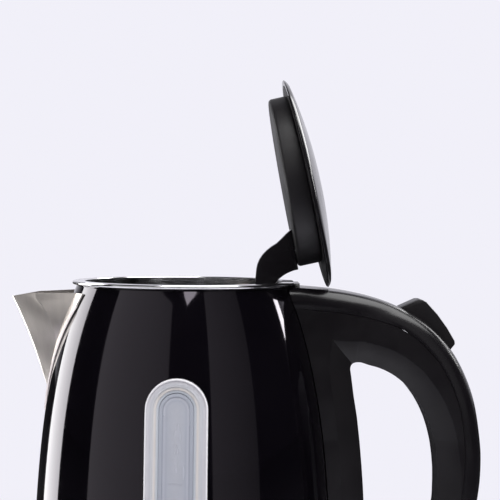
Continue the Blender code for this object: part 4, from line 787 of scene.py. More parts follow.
# ---- power base ----
def base_parts():
    under = FOOT_PROUD
    cover_top = under + BASE_COVER_THICK
    shell_wall = BASE_R - BASE_WALL
    shell = turned("base_shell", [
        (CONNECTOR_R + 0.0055, BASE_TOP), (BASE_R - 0.0075, BASE_TOP), (BASE_R - 0.0025, BASE_TOP - 0.0025),
        (BASE_R, BASE_TOP - 0.009), (BASE_R, under + GAP), (shell_wall, under + GAP),
        (shell_wall, BASE_TOP - 0.0085), (BASE_R - 0.0085, BASE_TOP - BASE_WALL),
        (CONNECTOR_R + 0.0055, BASE_TOP - BASE_WALL)])
    gland_hole = rod("gland_hole", (0, BASE_R - 0.02, GLAND_Z), (0, BASE_R + 0.02, GLAND_Z), 0.0048, 24, True)
    boolean(shell, gland_hole)
    posts = list(around(BASE_POST_CIRCLE_R, 3, 30))
    for number, x, y in posts:
        post = moved(ring(f"base_post_{number}", 0.0042, 0.0014, BASE_TOP - BASE_WALL + 0.0006,
                          under + 0.0031 + GAP, 16, True), x, y)
        boolean(shell, post, "UNION")
    finish(shell)

    cover_r = shell_wall - GAP
    cover = disc("base_bottom_cover", cover_r, cover_top, under, SEGMENTS)
    for number, x, y in around(FOOT_CIRCLE_R, 4, 45):
        seat = moved(disc(f"foot_seat_{number}", FOOT_R + GAP, FOOT_TALL + GAP, -0.01, 16, True), x, y)
        boolean(cover, seat)
        finish(moved(disc(f"base_foot_{number}", FOOT_R, FOOT_TALL, 0.0, 16), x, y))
    for number, x, y in posts:
        for name, radius, top in (("hole", 0.0034, under + 0.0018), ("through", 0.0018, 0.01)):
            hole = disc(f"base_screw_{name}_{number}", radius, top, -0.01, 16, True)
            boolean(cover, moved(hole, x, y))
        screw(f"base_screw_{number}", (x, y, 0.0007), 0.0011, 0.0030, 0.0120, 0.0005, under + 0.0008,
              under - 0.0002)
    finish(cover)

    tower = turned("base_connector", [
        (0.0, CONNECTOR_TOP - 0.011), (0.0016, CONNECTOR_TOP - 0.011), (0.0016, CONNECTOR_TOP),
        (0.0056, CONNECTOR_TOP), (0.0056, CONNECTOR_TOP - 0.010), (0.0104, CONNECTOR_TOP - 0.010),
        (0.0104, CONNECTOR_TOP), (CONNECTOR_R - 0.0008, CONNECTOR_TOP), (CONNECTOR_R, CONNECTOR_TOP - 0.0008),
        (CONNECTOR_R, BASE_TOP - BASE_WALL - GAP), (CONNECTOR_R + 0.0085, BASE_TOP - BASE_WALL - GAP),
        (CONNECTOR_R + 0.0085, BASE_TOP - BASE_WALL - 0.0022),
        (CONNECTOR_R - 0.001, BASE_TOP - BASE_WALL - 0.0022),
        (CONNECTOR_R - 0.001, cover_top + GAP), (0.0, cover_top + GAP)], False, FINE_SEGMENTS)
    finish(tower)

    gland = turned("cord_gland", [(0.0062, 0.0013), (0.0062, 0.0), (0.0045, 0.0), (0.0045, -0.0040),
                                  (0.0029, -0.0040), (0.0029, 0.0013)], True, 16)
    gland.location = (0, BASE_R + GAP, GLAND_Z)
    gland.rotation_euler = (math.radians(-90), 0, 0)
    finish(gland)


# ---- jug: steelwork ----
def jug_body():
    body = body_layer("jug_body", 0.0, -STEEL_WALL, BODY_TOP_DROP, BODY_DROP, 60)
    boolean(body, slab("spout_mouth", spout_mouth_outline(0.0), *FRONT, "YZ", is_cutter=True))
    window = slab("window_hole", stadium(WINDOW_W / 2 + GAP, WINDOW_TOP_DROP - GAP, WINDOW_BOTTOM_DROP + GAP),
                  *FRONT, is_cutter=True)
    boolean(body, window)
    slot = box("hinge_slot", (0.03, -SLOT_HALF, RIM_Z - SLOT_DROP), (0.09, SLOT_HALF, RIM_Z + 0.01), True)
    boolean(body, slot)
    piece = finish(body)
    for face in piece.data.polygons:
        if face.normal.x * face.center.x + face.normal.y * face.center.y < 0:
            face.material_index = 1


def rim_ring():
    top = RIM_Z - 0.0002
    bead = RIM_R - RIM_BEAD
    profile = [(MOUTH_R + 0.0003, top), (bead, top)]
    for step in range(1, 6):
        angle = math.radians(90 - 36 * step)
        profile.append((bead + RIM_BEAD * math.cos(angle), top - RIM_BEAD + RIM_BEAD * math.sin(angle)))
    low = top - 2 * RIM_BEAD
    profile += [(MOUTH_R + 0.0012, low), (MOUTH_R + 0.0012, RIM_Z - RIM_LIP), (MOUTH_R, RIM_Z - RIM_LIP),
                (MOUTH_R, top - 0.0004)]
    rim = turned("rim_ring", profile)
    boolean(rim, box("rim_notch", (0.03, -SLOT_HALF, RIM_Z - 0.02), (0.09, SLOT_HALF, RIM_Z + 0.02), True))
    return finish(rim)


def bowed(share, start, middle, end):
    """A quadratic curve from start to end, pulled towards its middle."""
    return (1 - share) ** 2 * start + 2 * share * (1 - share) * middle + share ** 2 * end


def spout_nose_x(drop):
    """How far the nose ridge stands out at a drop, on a curve from the tip to the lowest point."""
    if drop < SPOUT_TIP_DROP:
        return SPOUT_TIP_X + (SPOUT_TIP_DROP - drop) * 0.52
    share = share_at(lambda along: bowed(along, SPOUT_TIP_DROP, SPOUT_BEND_DROP, SPOUT_DROP), drop)
    return bowed(share, SPOUT_TIP_X, SPOUT_BEND_X, body_radius(SPOUT_DROP))


def spout_half_width(drop):
    share = (SPOUT_DROP - drop) / (SPOUT_DROP - SPOUT_TOP_DROP)
    return SPOUT_HALF_W * min(1.0, max(0.0, share))


def spout_section(drop, inset):
    """Half of the spout's outline at a drop, as (x out, y) from the nose to well inside the jug."""
    wide = max(0.0012, spout_half_width(drop) - inset * 1.15)
    nose = spout_nose_x(drop) - inset * 1.35
    round_r = min(SPOUT_NOSE_R - inset * 0.7, wide * 0.35)
    root = math.sqrt(body_radius(drop) ** 2 - wide ** 2)
    root = min(root, nose - round_r)
    fade = min(1.0, max(0.0, (drop - SPOUT_TOP_DROP) / (SPOUT_CREASE_DROP - SPOUT_TOP_DROP)))
    crease_x = SPOUT_CREASE_X * (1 - fade) + (root + 0.0005) * fade - inset * 0.6 * (1 - fade)
    crease_x = min(crease_x, nose - round_r * 1.05)
    crease_y = (SPOUT_CREASE_W - inset * 1.1) * (1 - fade) + wide * 0.98 * fade
    half = []
    for step in range(5):
        angle = math.radians(15 * step)
        half.append((nose - round_r + round_r * math.cos(angle), round_r * math.sin(angle)))
    deep = CREASE_DEEP * (1 - fade)
    nose_end, crease, side = Vector(half[-1]), Vector((crease_x, crease_y)), Vector((root, wide))
    for place, sunk in ((crease.lerp(nose_end, 0.12), 0.0), (crease, deep), (crease.lerp(side, 0.07), 0.0)):
        half.append((place.x - sunk * 0.48, place.y - sunk * 0.88))
    half.append((root, wide))
    half.append((0.035, wide))
    return half


def spout_top_z(x_out, drop):
    """The top edge droops towards the tip, as a pouring lip."""
    share = min(1.0, max(0.0, (x_out - SPOUT_CREASE_X) / (SPOUT_TIP_X - SPOUT_CREASE_X)))
    slope = min(1.0, max(0.0, (x_out - 0.0512) / (SPOUT_CREASE_X - 0.0512)))
    return RIM_Z - (drop + 0.0008 * slope + (SPOUT_TIP_DROP - drop - 0.0008) * share)


def spout_solid(name, inset, top_z, bottom_drop, is_cutter):
    """The spout's whole volume as a loft of its sections. top_z None keeps the drooping lip."""
    first = SPOUT_TOP_DROP
    count = 17
    work = bmesh.new()
    loops = []
    for index in range(count):
        drop = first + (bottom_drop - first) * index / (count - 1)
        half = spout_section(max(drop, SPOUT_TIP_DROP) if index == 0 else drop, inset)
        whole = [(x, -y) for x, y in reversed(half[1:])] + half
        loop = []
        for x, y in whole:
            z = RIM_Z - drop
            if index == 0:
                z = top_z if top_z is not None else spout_top_z(x, drop)
            loop.append(work.verts.new((-x, y, z)))
        loops.append(loop)
    bridge(work, loops)
    bmesh.ops.recalc_face_normals(work, faces=work.faces)
    return from_bmesh(work, name, is_cutter)


def spout_mouth_outline(grow):
    """The V opening through the jug's wall behind the spout, as (y, z)."""
    top = RIM_Z - SPOUT_TOP_DROP - 0.0018 + grow
    half = SPOUT_HALF_W - 0.0035 + grow
    low = RIM_Z - 0.0485 - grow * 2
    return [(-half, top), (-0.0015 - grow, low), (0.0015 + grow, low), (half, top)]


def spout():
    shell = spout_solid("spout", 0.0, None, SPOUT_DROP - 0.0008, False)
    flange_half = SPOUT_HALF_W + FLANGE_W
    flange = body_layer("flange_layer", GAP + FLANGE_THICK, -0.002, SPOUT_TOP_DROP - 0.0002,
                        SPOUT_DROP + 0.014, 8, SEGMENTS, True)
    top, low = RIM_Z - SPOUT_TOP_DROP, RIM_Z - SPOUT_DROP - 0.0085
    flange_v = slab("flange_v", [
        (-flange_half, top), (-flange_half + 0.0012, top - 0.006), (-0.0022, low), (0.0022, low),
        (flange_half - 0.0012, top - 0.006), (flange_half, top)], *FRONT, "YZ", is_cutter=True)
    boolean(flange_v, flange, "INTERSECT")
    boolean(shell, flange_v, "UNION")
    channel = spout_solid("spout_channel", SPOUT_WALL, RIM_Z + 0.02, SPOUT_DROP - 0.0055, True)
    boolean(shell, channel)
    jug = body_plug("spout_seat", GAP)
    boolean(shell, jug)
    soften(shell, 0.0003, 2)
    return finish(shell, angle_deg=11.0)


def spout_filter():
    seat = -STEEL_WALL - GAP
    screen = flat(body_layer("filter_layer", seat, seat - 0.0016, RIM_LIP + 0.0012, 0.056, 5), "spout_filter")
    keep = slab("filter_outline", spout_mouth_outline(0.0028), *FRONT, "YZ", is_cutter=True)
    boolean(screen, keep, "INTERSECT")
    bars = 9
    pitch = 2 * (SPOUT_HALF_W - 0.0045) / bars
    for index in range(bars):
        middle = pitch * (index - (bars - 1) / 2)
        reach = 0.0365 * (1 - abs(middle) / (SPOUT_HALF_W - 0.002))
        top = RIM_Z - SPOUT_TOP_DROP - 0.0035
        slit = box(f"filter_slit_{index + 1}", (-0.09, middle - pitch * 0.32, top - reach),
                   (-0.035, middle + pitch * 0.32, top), True)
        boolean(screen, slit)
    return finish(screen)


# ---- water window ----
def window_parts():
    top, bottom = WINDOW_TOP_DROP, WINDOW_BOTTOM_DROP
    margin = 0.006
    half, pane_half = WINDOW_W / 2, PANE_W / 2
    rim_w = half - pane_half

    def layer(name, outward, inward):
        return body_layer(name, outward, inward, top - margin, bottom + margin, 40, SEGMENTS, True)

    def slot(name, half_width, high, low, is_cutter=True):
        return slab(name, stadium(half_width, high, low), *FRONT, is_cutter=is_cutter)

    frame = slot("window_frame", half, top, bottom, False)
    boolean(frame, layer("frame_layer", WINDOW_PROUD, -STEEL_WALL - 0.0012), "INTERSECT")
    boolean(frame, slot("frame_inside", pane_half, top + rim_w, bottom - rim_w))
    for index, (inset, sunk) in enumerate(WINDOW_STEPS):
        recess = slot(f"frame_step_{index + 1}", half - inset, top + inset, bottom - inset)
        boolean(recess, layer(f"frame_step_layer_{index + 1}", 0.003, WINDOW_PROUD - sunk), "INTERSECT")
        boolean(frame, recess)
    frame = flat(frame, "window_frame")
    soften(frame, 0.00028, 2)
    finish(frame, angle_deg=50.0)

    pane_edge = pane_half - 0.0001
    pane = slot("window_pane", pane_edge, top + rim_w + GAP, bottom - rim_w - GAP, False)
    boolean(pane, layer("pane_layer", -0.0006, -STEEL_WALL - 0.0012), "INTERSECT")
    pane = flat(pane, "window_pane")
    inner = slot("pane_panel", pane_edge - 0.0016, top + rim_w + 0.0018, bottom - rim_w - 0.0018)
    boolean(inner, layer("pane_panel_layer", 0.003, -0.0009), "INTERSECT")
    boolean(pane, inner)
    for index in range(MARKS):
        z = RIM_Z - MARK_TOP_DROP - MARK_PITCH * index
        reach = MARK_LONG if index % 2 == 0 else MARK_SHORT
        mark = box(f"pane_mark_{index + 1}", (-reach, -0.1, z - MARK_TALL / 2),
                   (reach, -0.03, z + MARK_TALL / 2), True)
        boolean(mark, layer(f"mark_layer_{index + 1}", -0.00078, -0.0012), "INTERSECT")
        boolean(pane, mark, "UNION")
    finish(pane, angle_deg=30.0)

    seal = slot("window_seal", half + SEAL_LAP, top - SEAL_LAP, bottom + SEAL_LAP, False)
    seal_out = -STEEL_WALL - GAP
    boolean(seal, layer("seal_layer", seal_out, seal_out - SEAL_THICK), "INTERSECT")
    boolean(seal, slot("seal_inside", half + GAP, top - GAP, bottom + GAP))
    finish(seal)

    channel_out = -STEEL_WALL - 0.0012 - GAP
    channel_half = CHANNEL_W / 2
    end = rim_w + (pane_half - channel_half)
    channel = slot("gauge_channel", channel_half, top + end, bottom - end, False)
    boolean(channel, layer("channel_layer", channel_out, channel_out - CHANNEL_DEPTH), "INTERSECT")
    hollow = slot("channel_hollow", channel_half - CHANNEL_WALL, top + end + CHANNEL_WALL,
                  bottom - end - CHANNEL_WALL)
    boolean(hollow, layer("hollow_layer", 0.002, channel_out - CHANNEL_DEPTH + CHANNEL_WALL), "INTERSECT")
    boolean(channel, hollow)
    finish(channel)

    ball_y = -(body_radius(FLOAT_DROP) + channel_out - CHANNEL_DEPTH / 2 + 0.0003)
    work = bmesh.new()
    bmesh.ops.create_uvsphere(work, u_segments=16, v_segments=10, radius=FLOAT_R)
    ball = from_bmesh(work, "level_float")
    ball.location = (0, ball_y, RIM_Z - FLOAT_DROP)
    return finish(ball)


# ---- heater and underside ----
def heater_parts():
    inside = BELLY_R - STEEL_WALL
    seal_r = inside - GAP
    plate_r = seal_r - PLATE_SEAL_W
    plate_top = PLATE_Z + PLATE_THICK
    plate = disc("heater_plate", plate_r, plate_top, PLATE_Z, SEGMENTS)
    finish(plate)
    lip = 0.0009
    seal = turned("plate_seal", [
        (plate_r - lip, plate_top + GAP + lip), (seal_r, plate_top + GAP + lip),
        (seal_r, PLATE_Z - GAP - lip), (plate_r - lip, PLATE_Z - GAP - lip), (plate_r - lip, PLATE_Z - GAP),
        (plate_r + GAP, PLATE_Z - GAP), (plate_r + GAP, plate_top + GAP), (plate_r - lip, plate_top + GAP)])
    finish(seal)

    pad_low = PLATE_Z - GAP - DIFFUSER_THICK
    pad = disc("heat_diffuser", DIFFUSER_R, PLATE_Z - GAP, pad_low, 32)
    finish(pad)
    ring_z = pad_low - GAP - ELEMENT_R
    points = []
    for index in range(23):
        angle = math.radians(25 + 310 * index / 22)
        points.append((ELEMENT_RING_R * math.cos(angle), ELEMENT_RING_R * math.sin(angle), ring_z))
    element = tube("heating_element", points, ELEMENT_R, 2)
    finish(element)

    control_top = pad_low - GAP
    socket_top = CONNECTOR_TOP + 0.0040
    control = box("thermostat_control", (-CONTROL_HALF_W, -CONTROL_HALF_W, socket_top + GAP),
                  (CONTROL_HALF_W, CONTROL_HALF_W, control_top))
    soften(control, 0.002)
    finish(control)

    inner = CONNECTOR_R + 0.0009
    outer = inner + SOCKET_WALL
    floor_z = CONNECTOR_TOP + 0.0016
    socket = turned("jug_connector", [
        (0.0, socket_top), (outer, socket_top), (outer, BASE_TOP + 0.0019), (inner, BASE_TOP + 0.0019),
        (inner, floor_z), (0.0094, floor_z), (0.0094, CONNECTOR_TOP - 0.008), (0.0066, CONNECTOR_TOP - 0.008),
        (0.0066, floor_z), (0.0011, floor_z), (0.0011, CONNECTOR_TOP - 0.0085), (0.0, CONNECTOR_TOP - 0.009)],
        False, 24)
    finish(socket)
    return outer


def soften(thing, width, segments=2):
    bevel = thing.modifiers.new("soften", "BEVEL")
    bevel.width = width
    bevel.segments = segments
    bevel.limit_method = "ANGLE"
    return thing


def skirt_parts(socket_r):
    low = BASE_TOP + GAP
    inner = SKIRT_R - SKIRT_WALL
    top = BODY_BOTTOM_Z + SKIRT_OVERLAP
    lap = BELLY_R + GAP
    ledge = BELLY_R - 0.0035
    seat = BODY_BOTTOM_Z - GAP
    skirt = turned("jug_skirt", [
        (SKIRT_R - 0.0008, top), (SKIRT_R, top - 0.0012), (SKIRT_R, low + 0.002), (SKIRT_R - 0.0015, low),
        (inner - 0.0015, low), (inner, low + 0.002), (inner, seat - 0.0035), (ledge, seat - 0.0018),
        (ledge, seat), (lap, seat), (lap, top)])
    house_half = HOUSE_HALF_W
    house = box("house_block", (BELLY_R - 0.0020, -house_half, low + 0.0015),
                (LEVER_X + 0.0075, house_half, HOUSE_TOP), True)
    soften(house, 0.0015)
    jug_room = disc("house_front", lap + 0.0004, HOUSE_TOP + 0.01, 0.0, SEGMENTS, True)
    boolean(house, jug_room)
    house = flat(house, "switch_house", True)
    boolean(skirt, house, "UNION")
    room = box("switch_room", (inner - 0.0040, -house_half + HOUSE_WALL, low + 0.0040),
               (LEVER_X + 0.0055, house_half - HOUSE_WALL, HOUSE_TOP - HOUSE_WALL), True)
    boolean(room, disc("room_front", lap + 0.0012, HOUSE_TOP + 0.01, BODY_BOTTOM_Z - 0.004, SEGMENTS, True))
    room = flat(room, "switch_space", True)
    boolean(skirt, room)
    mouth = box("lever_mouth", (LEVER_X, -LEVER_HALF_W - 0.0004, LEVER_Z - 0.0070),
                (LEVER_X + 0.02, LEVER_HALF_W + 0.0004, LEVER_Z + 0.0050), True)
    boolean(skirt, mouth)
    ear_hole = rod("lever_pivot_hole", (LEVER_X, -house_half - 0.001, LEVER_Z),
                   (LEVER_X, house_half + 0.001, LEVER_Z), LEVER_PIN_R + GAP, 16, True)
    boolean(skirt, ear_hole)
    steam_port = rod("steam_port", (STEAM_X_LOW, 0, HOUSE_TOP - 0.004), (STEAM_X_LOW, 0, HOUSE_TOP + 0.02),
                     STEAM_TUBE_R + GAP, 20, True)
    boolean(skirt, steam_port)
    finish(skirt)

    cover = ring("jug_bottom_cover", inner - GAP, socket_r + GAP, low + 0.0042, low + 0.0022)
    for number, x, y in around(JUG_SCREW_CIRCLE_R, 3, 90):
        boolean(cover, moved(disc(f"jug_screw_hole_{number}", 0.0018, 0.04, 0.01, 14, True), x, y))
        screw(f"jug_screw_{number}", (x, y, low + 0.0022 - GAP), SCREW_R, 0.0030, 0.0130, 0.0005, 0.0,
              -0.0011)
    finish(cover)


def switch_parts():
    paddle = slab("switch_lever", [
        (LEVER_X - 0.0035, LEVER_Z + 0.0022), (LEVER_X + 0.0030, LEVER_Z + 0.0030),
        (LEVER_X + 0.0190, LEVER_Z + 0.0012), (LEVER_X + 0.0200, LEVER_Z - 0.0008),
        (LEVER_X + 0.0180, LEVER_Z - 0.0026), (LEVER_X + 0.0030, LEVER_Z - 0.0030),
        (LEVER_X - 0.0035, LEVER_Z - 0.0022)], -LEVER_HALF_W, LEVER_HALF_W)
    axle = rod("lever_axle", (LEVER_X, -0.0137, LEVER_Z), (LEVER_X, 0.0137, LEVER_Z), LEVER_PIN_R, 16, True)
    boolean(paddle, axle, "UNION")
    lens_low, lens_high = (LEVER_X + 0.0090, -0.0030), (LEVER_X + 0.0150, 0.0030)
    socket = box("lens_socket", (*lens_low, LEVER_Z), (*lens_high, LEVER_Z + 0.01), True)
    boolean(paddle, socket)
    finish(paddle)
    lens = box("switch_lens", (lens_low[0] + GAP, lens_low[1] + GAP, LEVER_Z + GAP),
               (lens_high[0] - GAP, lens_high[1] - GAP, LEVER_Z + 0.0022))
    soften(lens, 0.0004, 1)
    finish(lens)
    steam_switch = disc("steam_switch", 0.0075, 0.0030, 0.0, 24)
    moved(steam_switch, STEAM_X_LOW + 0.0020, 0, BASE_TOP + 0.0040 + 2 * GAP)
    finish(steam_switch)


# ---- handle ----
# outlines in millimetres: x from the jug's axis, and drop below the rim
HANDLE_OUTSIDE = [
    (57.2, 2.6), (76.0, 4.3), (94.0, 7.9), (109.0, 13.4), (121.0, 20.9), (131.3, 31.8), (138.6, 44.2),
    (144.0, 59.0), (147.2, 77.0), (148.0, 90.0), (147.0, 105.0), (143.0, 125.0), (134.0, 144.0),
    (120.0, 157.0), (102.0, 164.3), (86.0, 166.6)]
HANDLE_OPENING = [
    (82.6, 39.6), (91.4, 40.6), (99.3, 43.1), (107.3, 48.2), (113.4, 54.6), (119.3, 64.0), (123.4, 75.0),
    (125.8, 88.0), (126.4, 102.0), (125.0, 117.0), (119.0, 131.0), (108.0, 140.5), (97.0, 144.5),
    (91.4, 143.5), (90.4, 136.0), (89.8, 112.0), (88.4, 90.5), (85.8, 66.5), (82.5, 45.0)]
HANDLE_SEAM = [
    (57.0, 13.0), (84.4, 16.0), (102.4, 20.7), (111.4, 25.4), (119.3, 32.2), (127.6, 42.6), (134.6, 58.0),
    (138.0, 74.0), (138.6, 92.0), (137.0, 108.0), (132.6, 124.0), (124.0, 139.0), (112.0, 149.5),
    (98.0, 155.6), (84.0, 158.0)]
HANDLE_BACK = [
    (84.0, 166.0), (75.0, 164.0), (74.3, 140.0), (72.8, 105.0), (70.7, 78.0), (66.3, 50.0), (62.0, 30.0),
    (58.0, 12.0)]
# millimetres: drop below the rim, and the handle's half width there
HANDLE_WIDTHS = [
    (2.0, 23.0), (7.0, 20.4), (14.0, 18.8), (35.0, 18.4), (58.0, 17.0), (78.0, 15.2), (100.0, 14.4),
    (168.0, 13.2)]


def xz(points):
    """Handle points given as millimetres (x, drop) to metres (x, z)."""
    return [(x * MM, RIM_Z - drop * MM) for x, drop in points]


def handle_half_width(z):
    drop = (RIM_Z - z) / MM
    if drop <= HANDLE_WIDTHS[0][0]:
        return HANDLE_WIDTHS[0][1] * MM
    for (drop_a, half_a), (drop_b, half_b) in zip(HANDLE_WIDTHS, HANDLE_WIDTHS[1:]):
        if drop <= drop_b:
            return (half_a + (half_b - half_a) * (drop - drop_a) / (drop_b - drop_a)) * MM
    return HANDLE_WIDTHS[-1][1] * MM


def handle_blank():
    """The whole handle as one solid, with its sides drafted and the edge of its opening softened."""
    bottom = RIM_Z - HANDLE_BOTTOM_DROP
    outside = xz(HANDLE_OUTSIDE) + [(0.0700, bottom, "corner"), (0.0380, bottom, "corner"),
                                    (0.0380, RIM_Z - 0.0026, "corner")]
    blank = slab("handle_blank", [("SMOOTH", outside), ("SMOOTH", xz(HANDLE_OPENING))], -0.01, 0.01, "XZ", 2)
    work = bmesh.new()
    work.from_mesh(blank.data)
    for drop, _ in HANDLE_WIDTHS[1:-1]:
        everything = list(work.verts) + list(work.edges) + list(work.faces)
        bmesh.ops.bisect_plane(work, geom=everything, dist=1e-7, plane_co=(0, 0, RIM_Z - drop * MM),
                               plane_no=(0, 0, 1))
    for corner in work.verts:
        corner.co.y = math.copysign(handle_half_width(corner.co.z), corner.co.y)
    bmesh.ops.dissolve_limit(work, angle_limit=math.radians(0.25), verts=work.verts, edges=work.edges)
    work.normal_update()
    middle = Vector((0.105, 0.0, RIM_Z - 0.092))
    opening_edges = []
    for edge in work.edges:
        if len(edge.link_faces) != 2 or edge.calc_face_angle() < math.radians(50):
            continue
        side = min(edge.link_faces, key=lambda face: abs(face.normal.y))
        if abs(side.normal.y) > 0.5:
            continue
        if side.normal.dot(middle - side.calc_center_median()) > 0:
            opening_edges.append(edge)
    bmesh.ops.bevel(work, geom=opening_edges, offset=HANDLE_EDGE, segments=2, profile=0.5, affect="EDGES",
                    clamp_overlap=True)
    bmesh.ops.triangulate(work, faces=work.faces)
    work.to_mesh(blank.data)
    work.free()
    grid = blank.modifiers.new("grid", "REMESH")
    grid.mode = "VOXEL"
    grid.voxel_size = 0.0009
    relax = blank.modifiers.new("relax", "SMOOTH")
    relax.factor = 0.5
    relax.iterations = 14
    return flat(blank, "handle_blank")


def drawn_in(points, distance):
    """An outline that runs clockwise, moved in by a distance, or out where it is negative."""
    moved_points = []
    for index, here in enumerate(points):
        before, after = points[index - 1], points[(index + 1) % len(points)]
        along = Vector((after[0] - before[0], after[1] - before[1])).normalized()
        moved_points.append((here[0] + along.y * distance, here[1] - along.x * distance))
    return moved_points


def grown(points, distance):
    """A closed clockwise outline moved out square to its sides, with its corners kept sharp."""
    made = []
    for index, here in enumerate(points):
        before, after = Vector(points[index - 1]), Vector(points[(index + 1) % len(points)])
        first, second = (Vector(here) - before).normalized(), (after - Vector(here)).normalized()
        normal = Vector((-first.y - second.y, first.x + second.x)).normalized()
        square = max(0.6, normal.dot(Vector((-first.y, first.x))))
        made.append(Vector(here) + normal * (distance / square))
    return made


def curved(here, after, leave, arrive):
    """Points from one place up to the next on a cubic curve that leaves and arrives with the given slopes."""
    for step in range(CURVE_STEPS):
        t = step / CURVE_STEPS
        yield (here * (2 * t ** 3 - 3 * t ** 2 + 1) + leave * (t ** 3 - 2 * t ** 2 + t)
               + after * (3 * t ** 2 - 2 * t ** 3) + arrive * (t ** 3 - t ** 2))


def smoothed_outline(points):
    """More points along a closed outline, on a curve through the given ones, with one corner kept sharp."""
    made = []
    count = len(points)
    for index in range(count):
        here, after = Vector(points[index]), Vector(points[(index + 1) % count])
        before, beyond = Vector(points[index - 1]), Vector(points[(index + 2) % count])
        leave = (after - before) / 2 if index != OPENING_CORNER else after - here
        arrive = (beyond - here) / 2 if (index + 1) % count != OPENING_CORNER else after - here
        made += curved(here, after, leave, arrive)
    return made


def chamfer_cutter(side):
    """The wedge that leaves the broad bevel round the handle's opening on one side."""
    edge = smoothed_outline(xz(HANDLE_OPENING))
    slope = HANDLE_CHAMFER_DEEP / HANDLE_CHAMFER
    over = 0.003
    work = bmesh.new()
    rows = []
    for reach, deep in ((-over, HANDLE_CHAMFER_DEEP + over * slope), (HANDLE_CHAMFER + over, -over * slope)):
        rows.append([work.verts.new((place.x, side * (handle_half_width(place.y) - deep), place.y))
                     for place in grown(edge, reach)])
    inner, outer = rows
    cap = [work.verts.new((corner.co.x, side * 0.04, corner.co.z)) for corner in outer]
    bridge(work, (inner, outer, cap))
    bmesh.ops.triangulate(work, faces=work.faces)
    bmesh.ops.recalc_face_normals(work, faces=work.faces)
    return from_bmesh(work, f"opening_chamfer_{'near' if side < 0 else 'far'}", True)


def round_cutter():
    """What is cut away to round the handle's outer face from side to side: one band along its outline."""
    knots = [Vector(place) for place in xz(HANDLE_OUTSIDE)]
    path = [Vector((0.030, knots[0].y))]
    for before, here, after, beyond in zip([knots[0]] + knots, knots, knots[1:], knots[2:] + [knots[-1]]):
        path += curved(here, after, (after - before) / 2, (beyond - here) / 2)
    path += [knots[-1], Vector((0.030, knots[-1].y))]
    away, trim, steps = 0.01, 0.0001, 8
    last = math.radians(80)
    quarter = []
    for step in range(steps + 1):
        angle = last * step / steps
        quarter.append((trim + HANDLE_ROUND * (1 - math.cos(angle)), HANDLE_ROUND * (math.sin(angle) - 1)))
    inset, out = quarter[-1]
    quarter += [(inset + 0.0025, out + 0.0025 / math.tan(last)), (inset + 0.0025, away)]
    work = bmesh.new()
    rings = []
    for index, here in enumerate(path):
        before, after = path[max(0, index - 1)], path[min(len(path) - 1, index + 1)]
        along = (after - before).normalized()
        half = handle_half_width(here.y)
        near = [(inset, handle_half_width(here.y - along.x * inset) + out) for inset, out in quarter]
        far = [(inset, -y) for inset, y in reversed(near)]
        profile = near + [(-away, half + away), (-away, -half - away)] + far
        rings.append([work.verts.new((here.x + along.y * inset, y, here.y - along.x * inset))
                      for inset, y in profile])
    bridge(work, rings)
    bmesh.ops.triangulate(work, faces=work.faces)
    bmesh.ops.recalc_face_normals(work, faces=work.faces)
    return from_bmesh(work, "outer_round", True)


def handle_cavity(name):
    """The hollow inside the handle: its outline drawn in by the wall, cut narrower than the handle."""
    outside = xz(HANDLE_OUTSIDE[:-1] + HANDLE_BACK)
    opening = drawn_in(xz(HANDLE_OPENING), -HANDLE_WALL)
    outlines = [("SMOOTH", drawn_in(outside, HANDLE_WALL)), ("SMOOTH", opening)]
    return slab(name, outlines, -HANDLE_CAVITY_HALF, HANDLE_CAVITY_HALF, "XZ", 2, True)


def button_point(along, out):
    """A point given along the button's face and outwards from the handle's surface."""
    turn_x = math.cos(BUTTON_TILT), -math.sin(BUTTON_TILT)
    turn_n = math.sin(BUTTON_TILT), math.cos(BUTTON_TILT)
    return (BUTTON_X + along * turn_x[0] + out * turn_n[0],
            RIM_Z - BUTTON_DROP + along * turn_x[1] + out * turn_n[1])


def button_outline(grow):
    """The button's pocket, along and out of the handle's surface, with room for its travel."""
    floor = BUTTON_FLOOR - BUTTON_TRAVEL - grow
    return [button_point(BUTTON_LEFT - grow, floor), button_point(BUTTON_LEFT - grow, 0.02),
            button_point(BUTTON_RIGHT + grow, 0.02), button_point(BUTTON_RIGHT + grow, floor)]


def seam_region(name, shrink):
    """Everything on the cover's side of the seam between the handle's two mouldings."""
    seam = xz(HANDLE_SEAM)
    shifted = []
    for index, (x, z) in enumerate(seam):
        before = seam[max(0, index - 1)]
        after = seam[min(len(seam) - 1, index + 1)]
        along = Vector((after[0] - before[0], after[1] - before[1])).normalized()
        shifted.append((x - along.y * shrink, z + along.x * shrink))
    left, right, low, high = 0.020, 0.200, RIM_Z - 0.20, RIM_Z + 0.03
    around_it = [shifted[-1], (left, shifted[-1][1]), (left, low), (right, low), (right, high), (left, high)]
    corners = [(*place, "corner") for place in [(left, shifted[0][1]), shifted[0]] + around_it]
    return slab(name, [("SMOOTH", corners[:2] + shifted[1:-1] + corners[2:])], -0.05, 0.05, "XZ", 3, True)


def root_pocket(name):
    """Room in the handle's root for the hinge housing."""
    back, top, low = HOUSING_BACK + GAP, RIM_Z - HOUSING_TOP_DROP + GAP, RIM_Z - SLOT_DROP
    return slab(name, [(0.040, low), (back, low), (back, top), (0.0573, top), (0.0573, RIM_Z + 0.02),
                       (0.040, RIM_Z + 0.02)], -SLOT_HALF, SLOT_HALF, is_cutter=True)


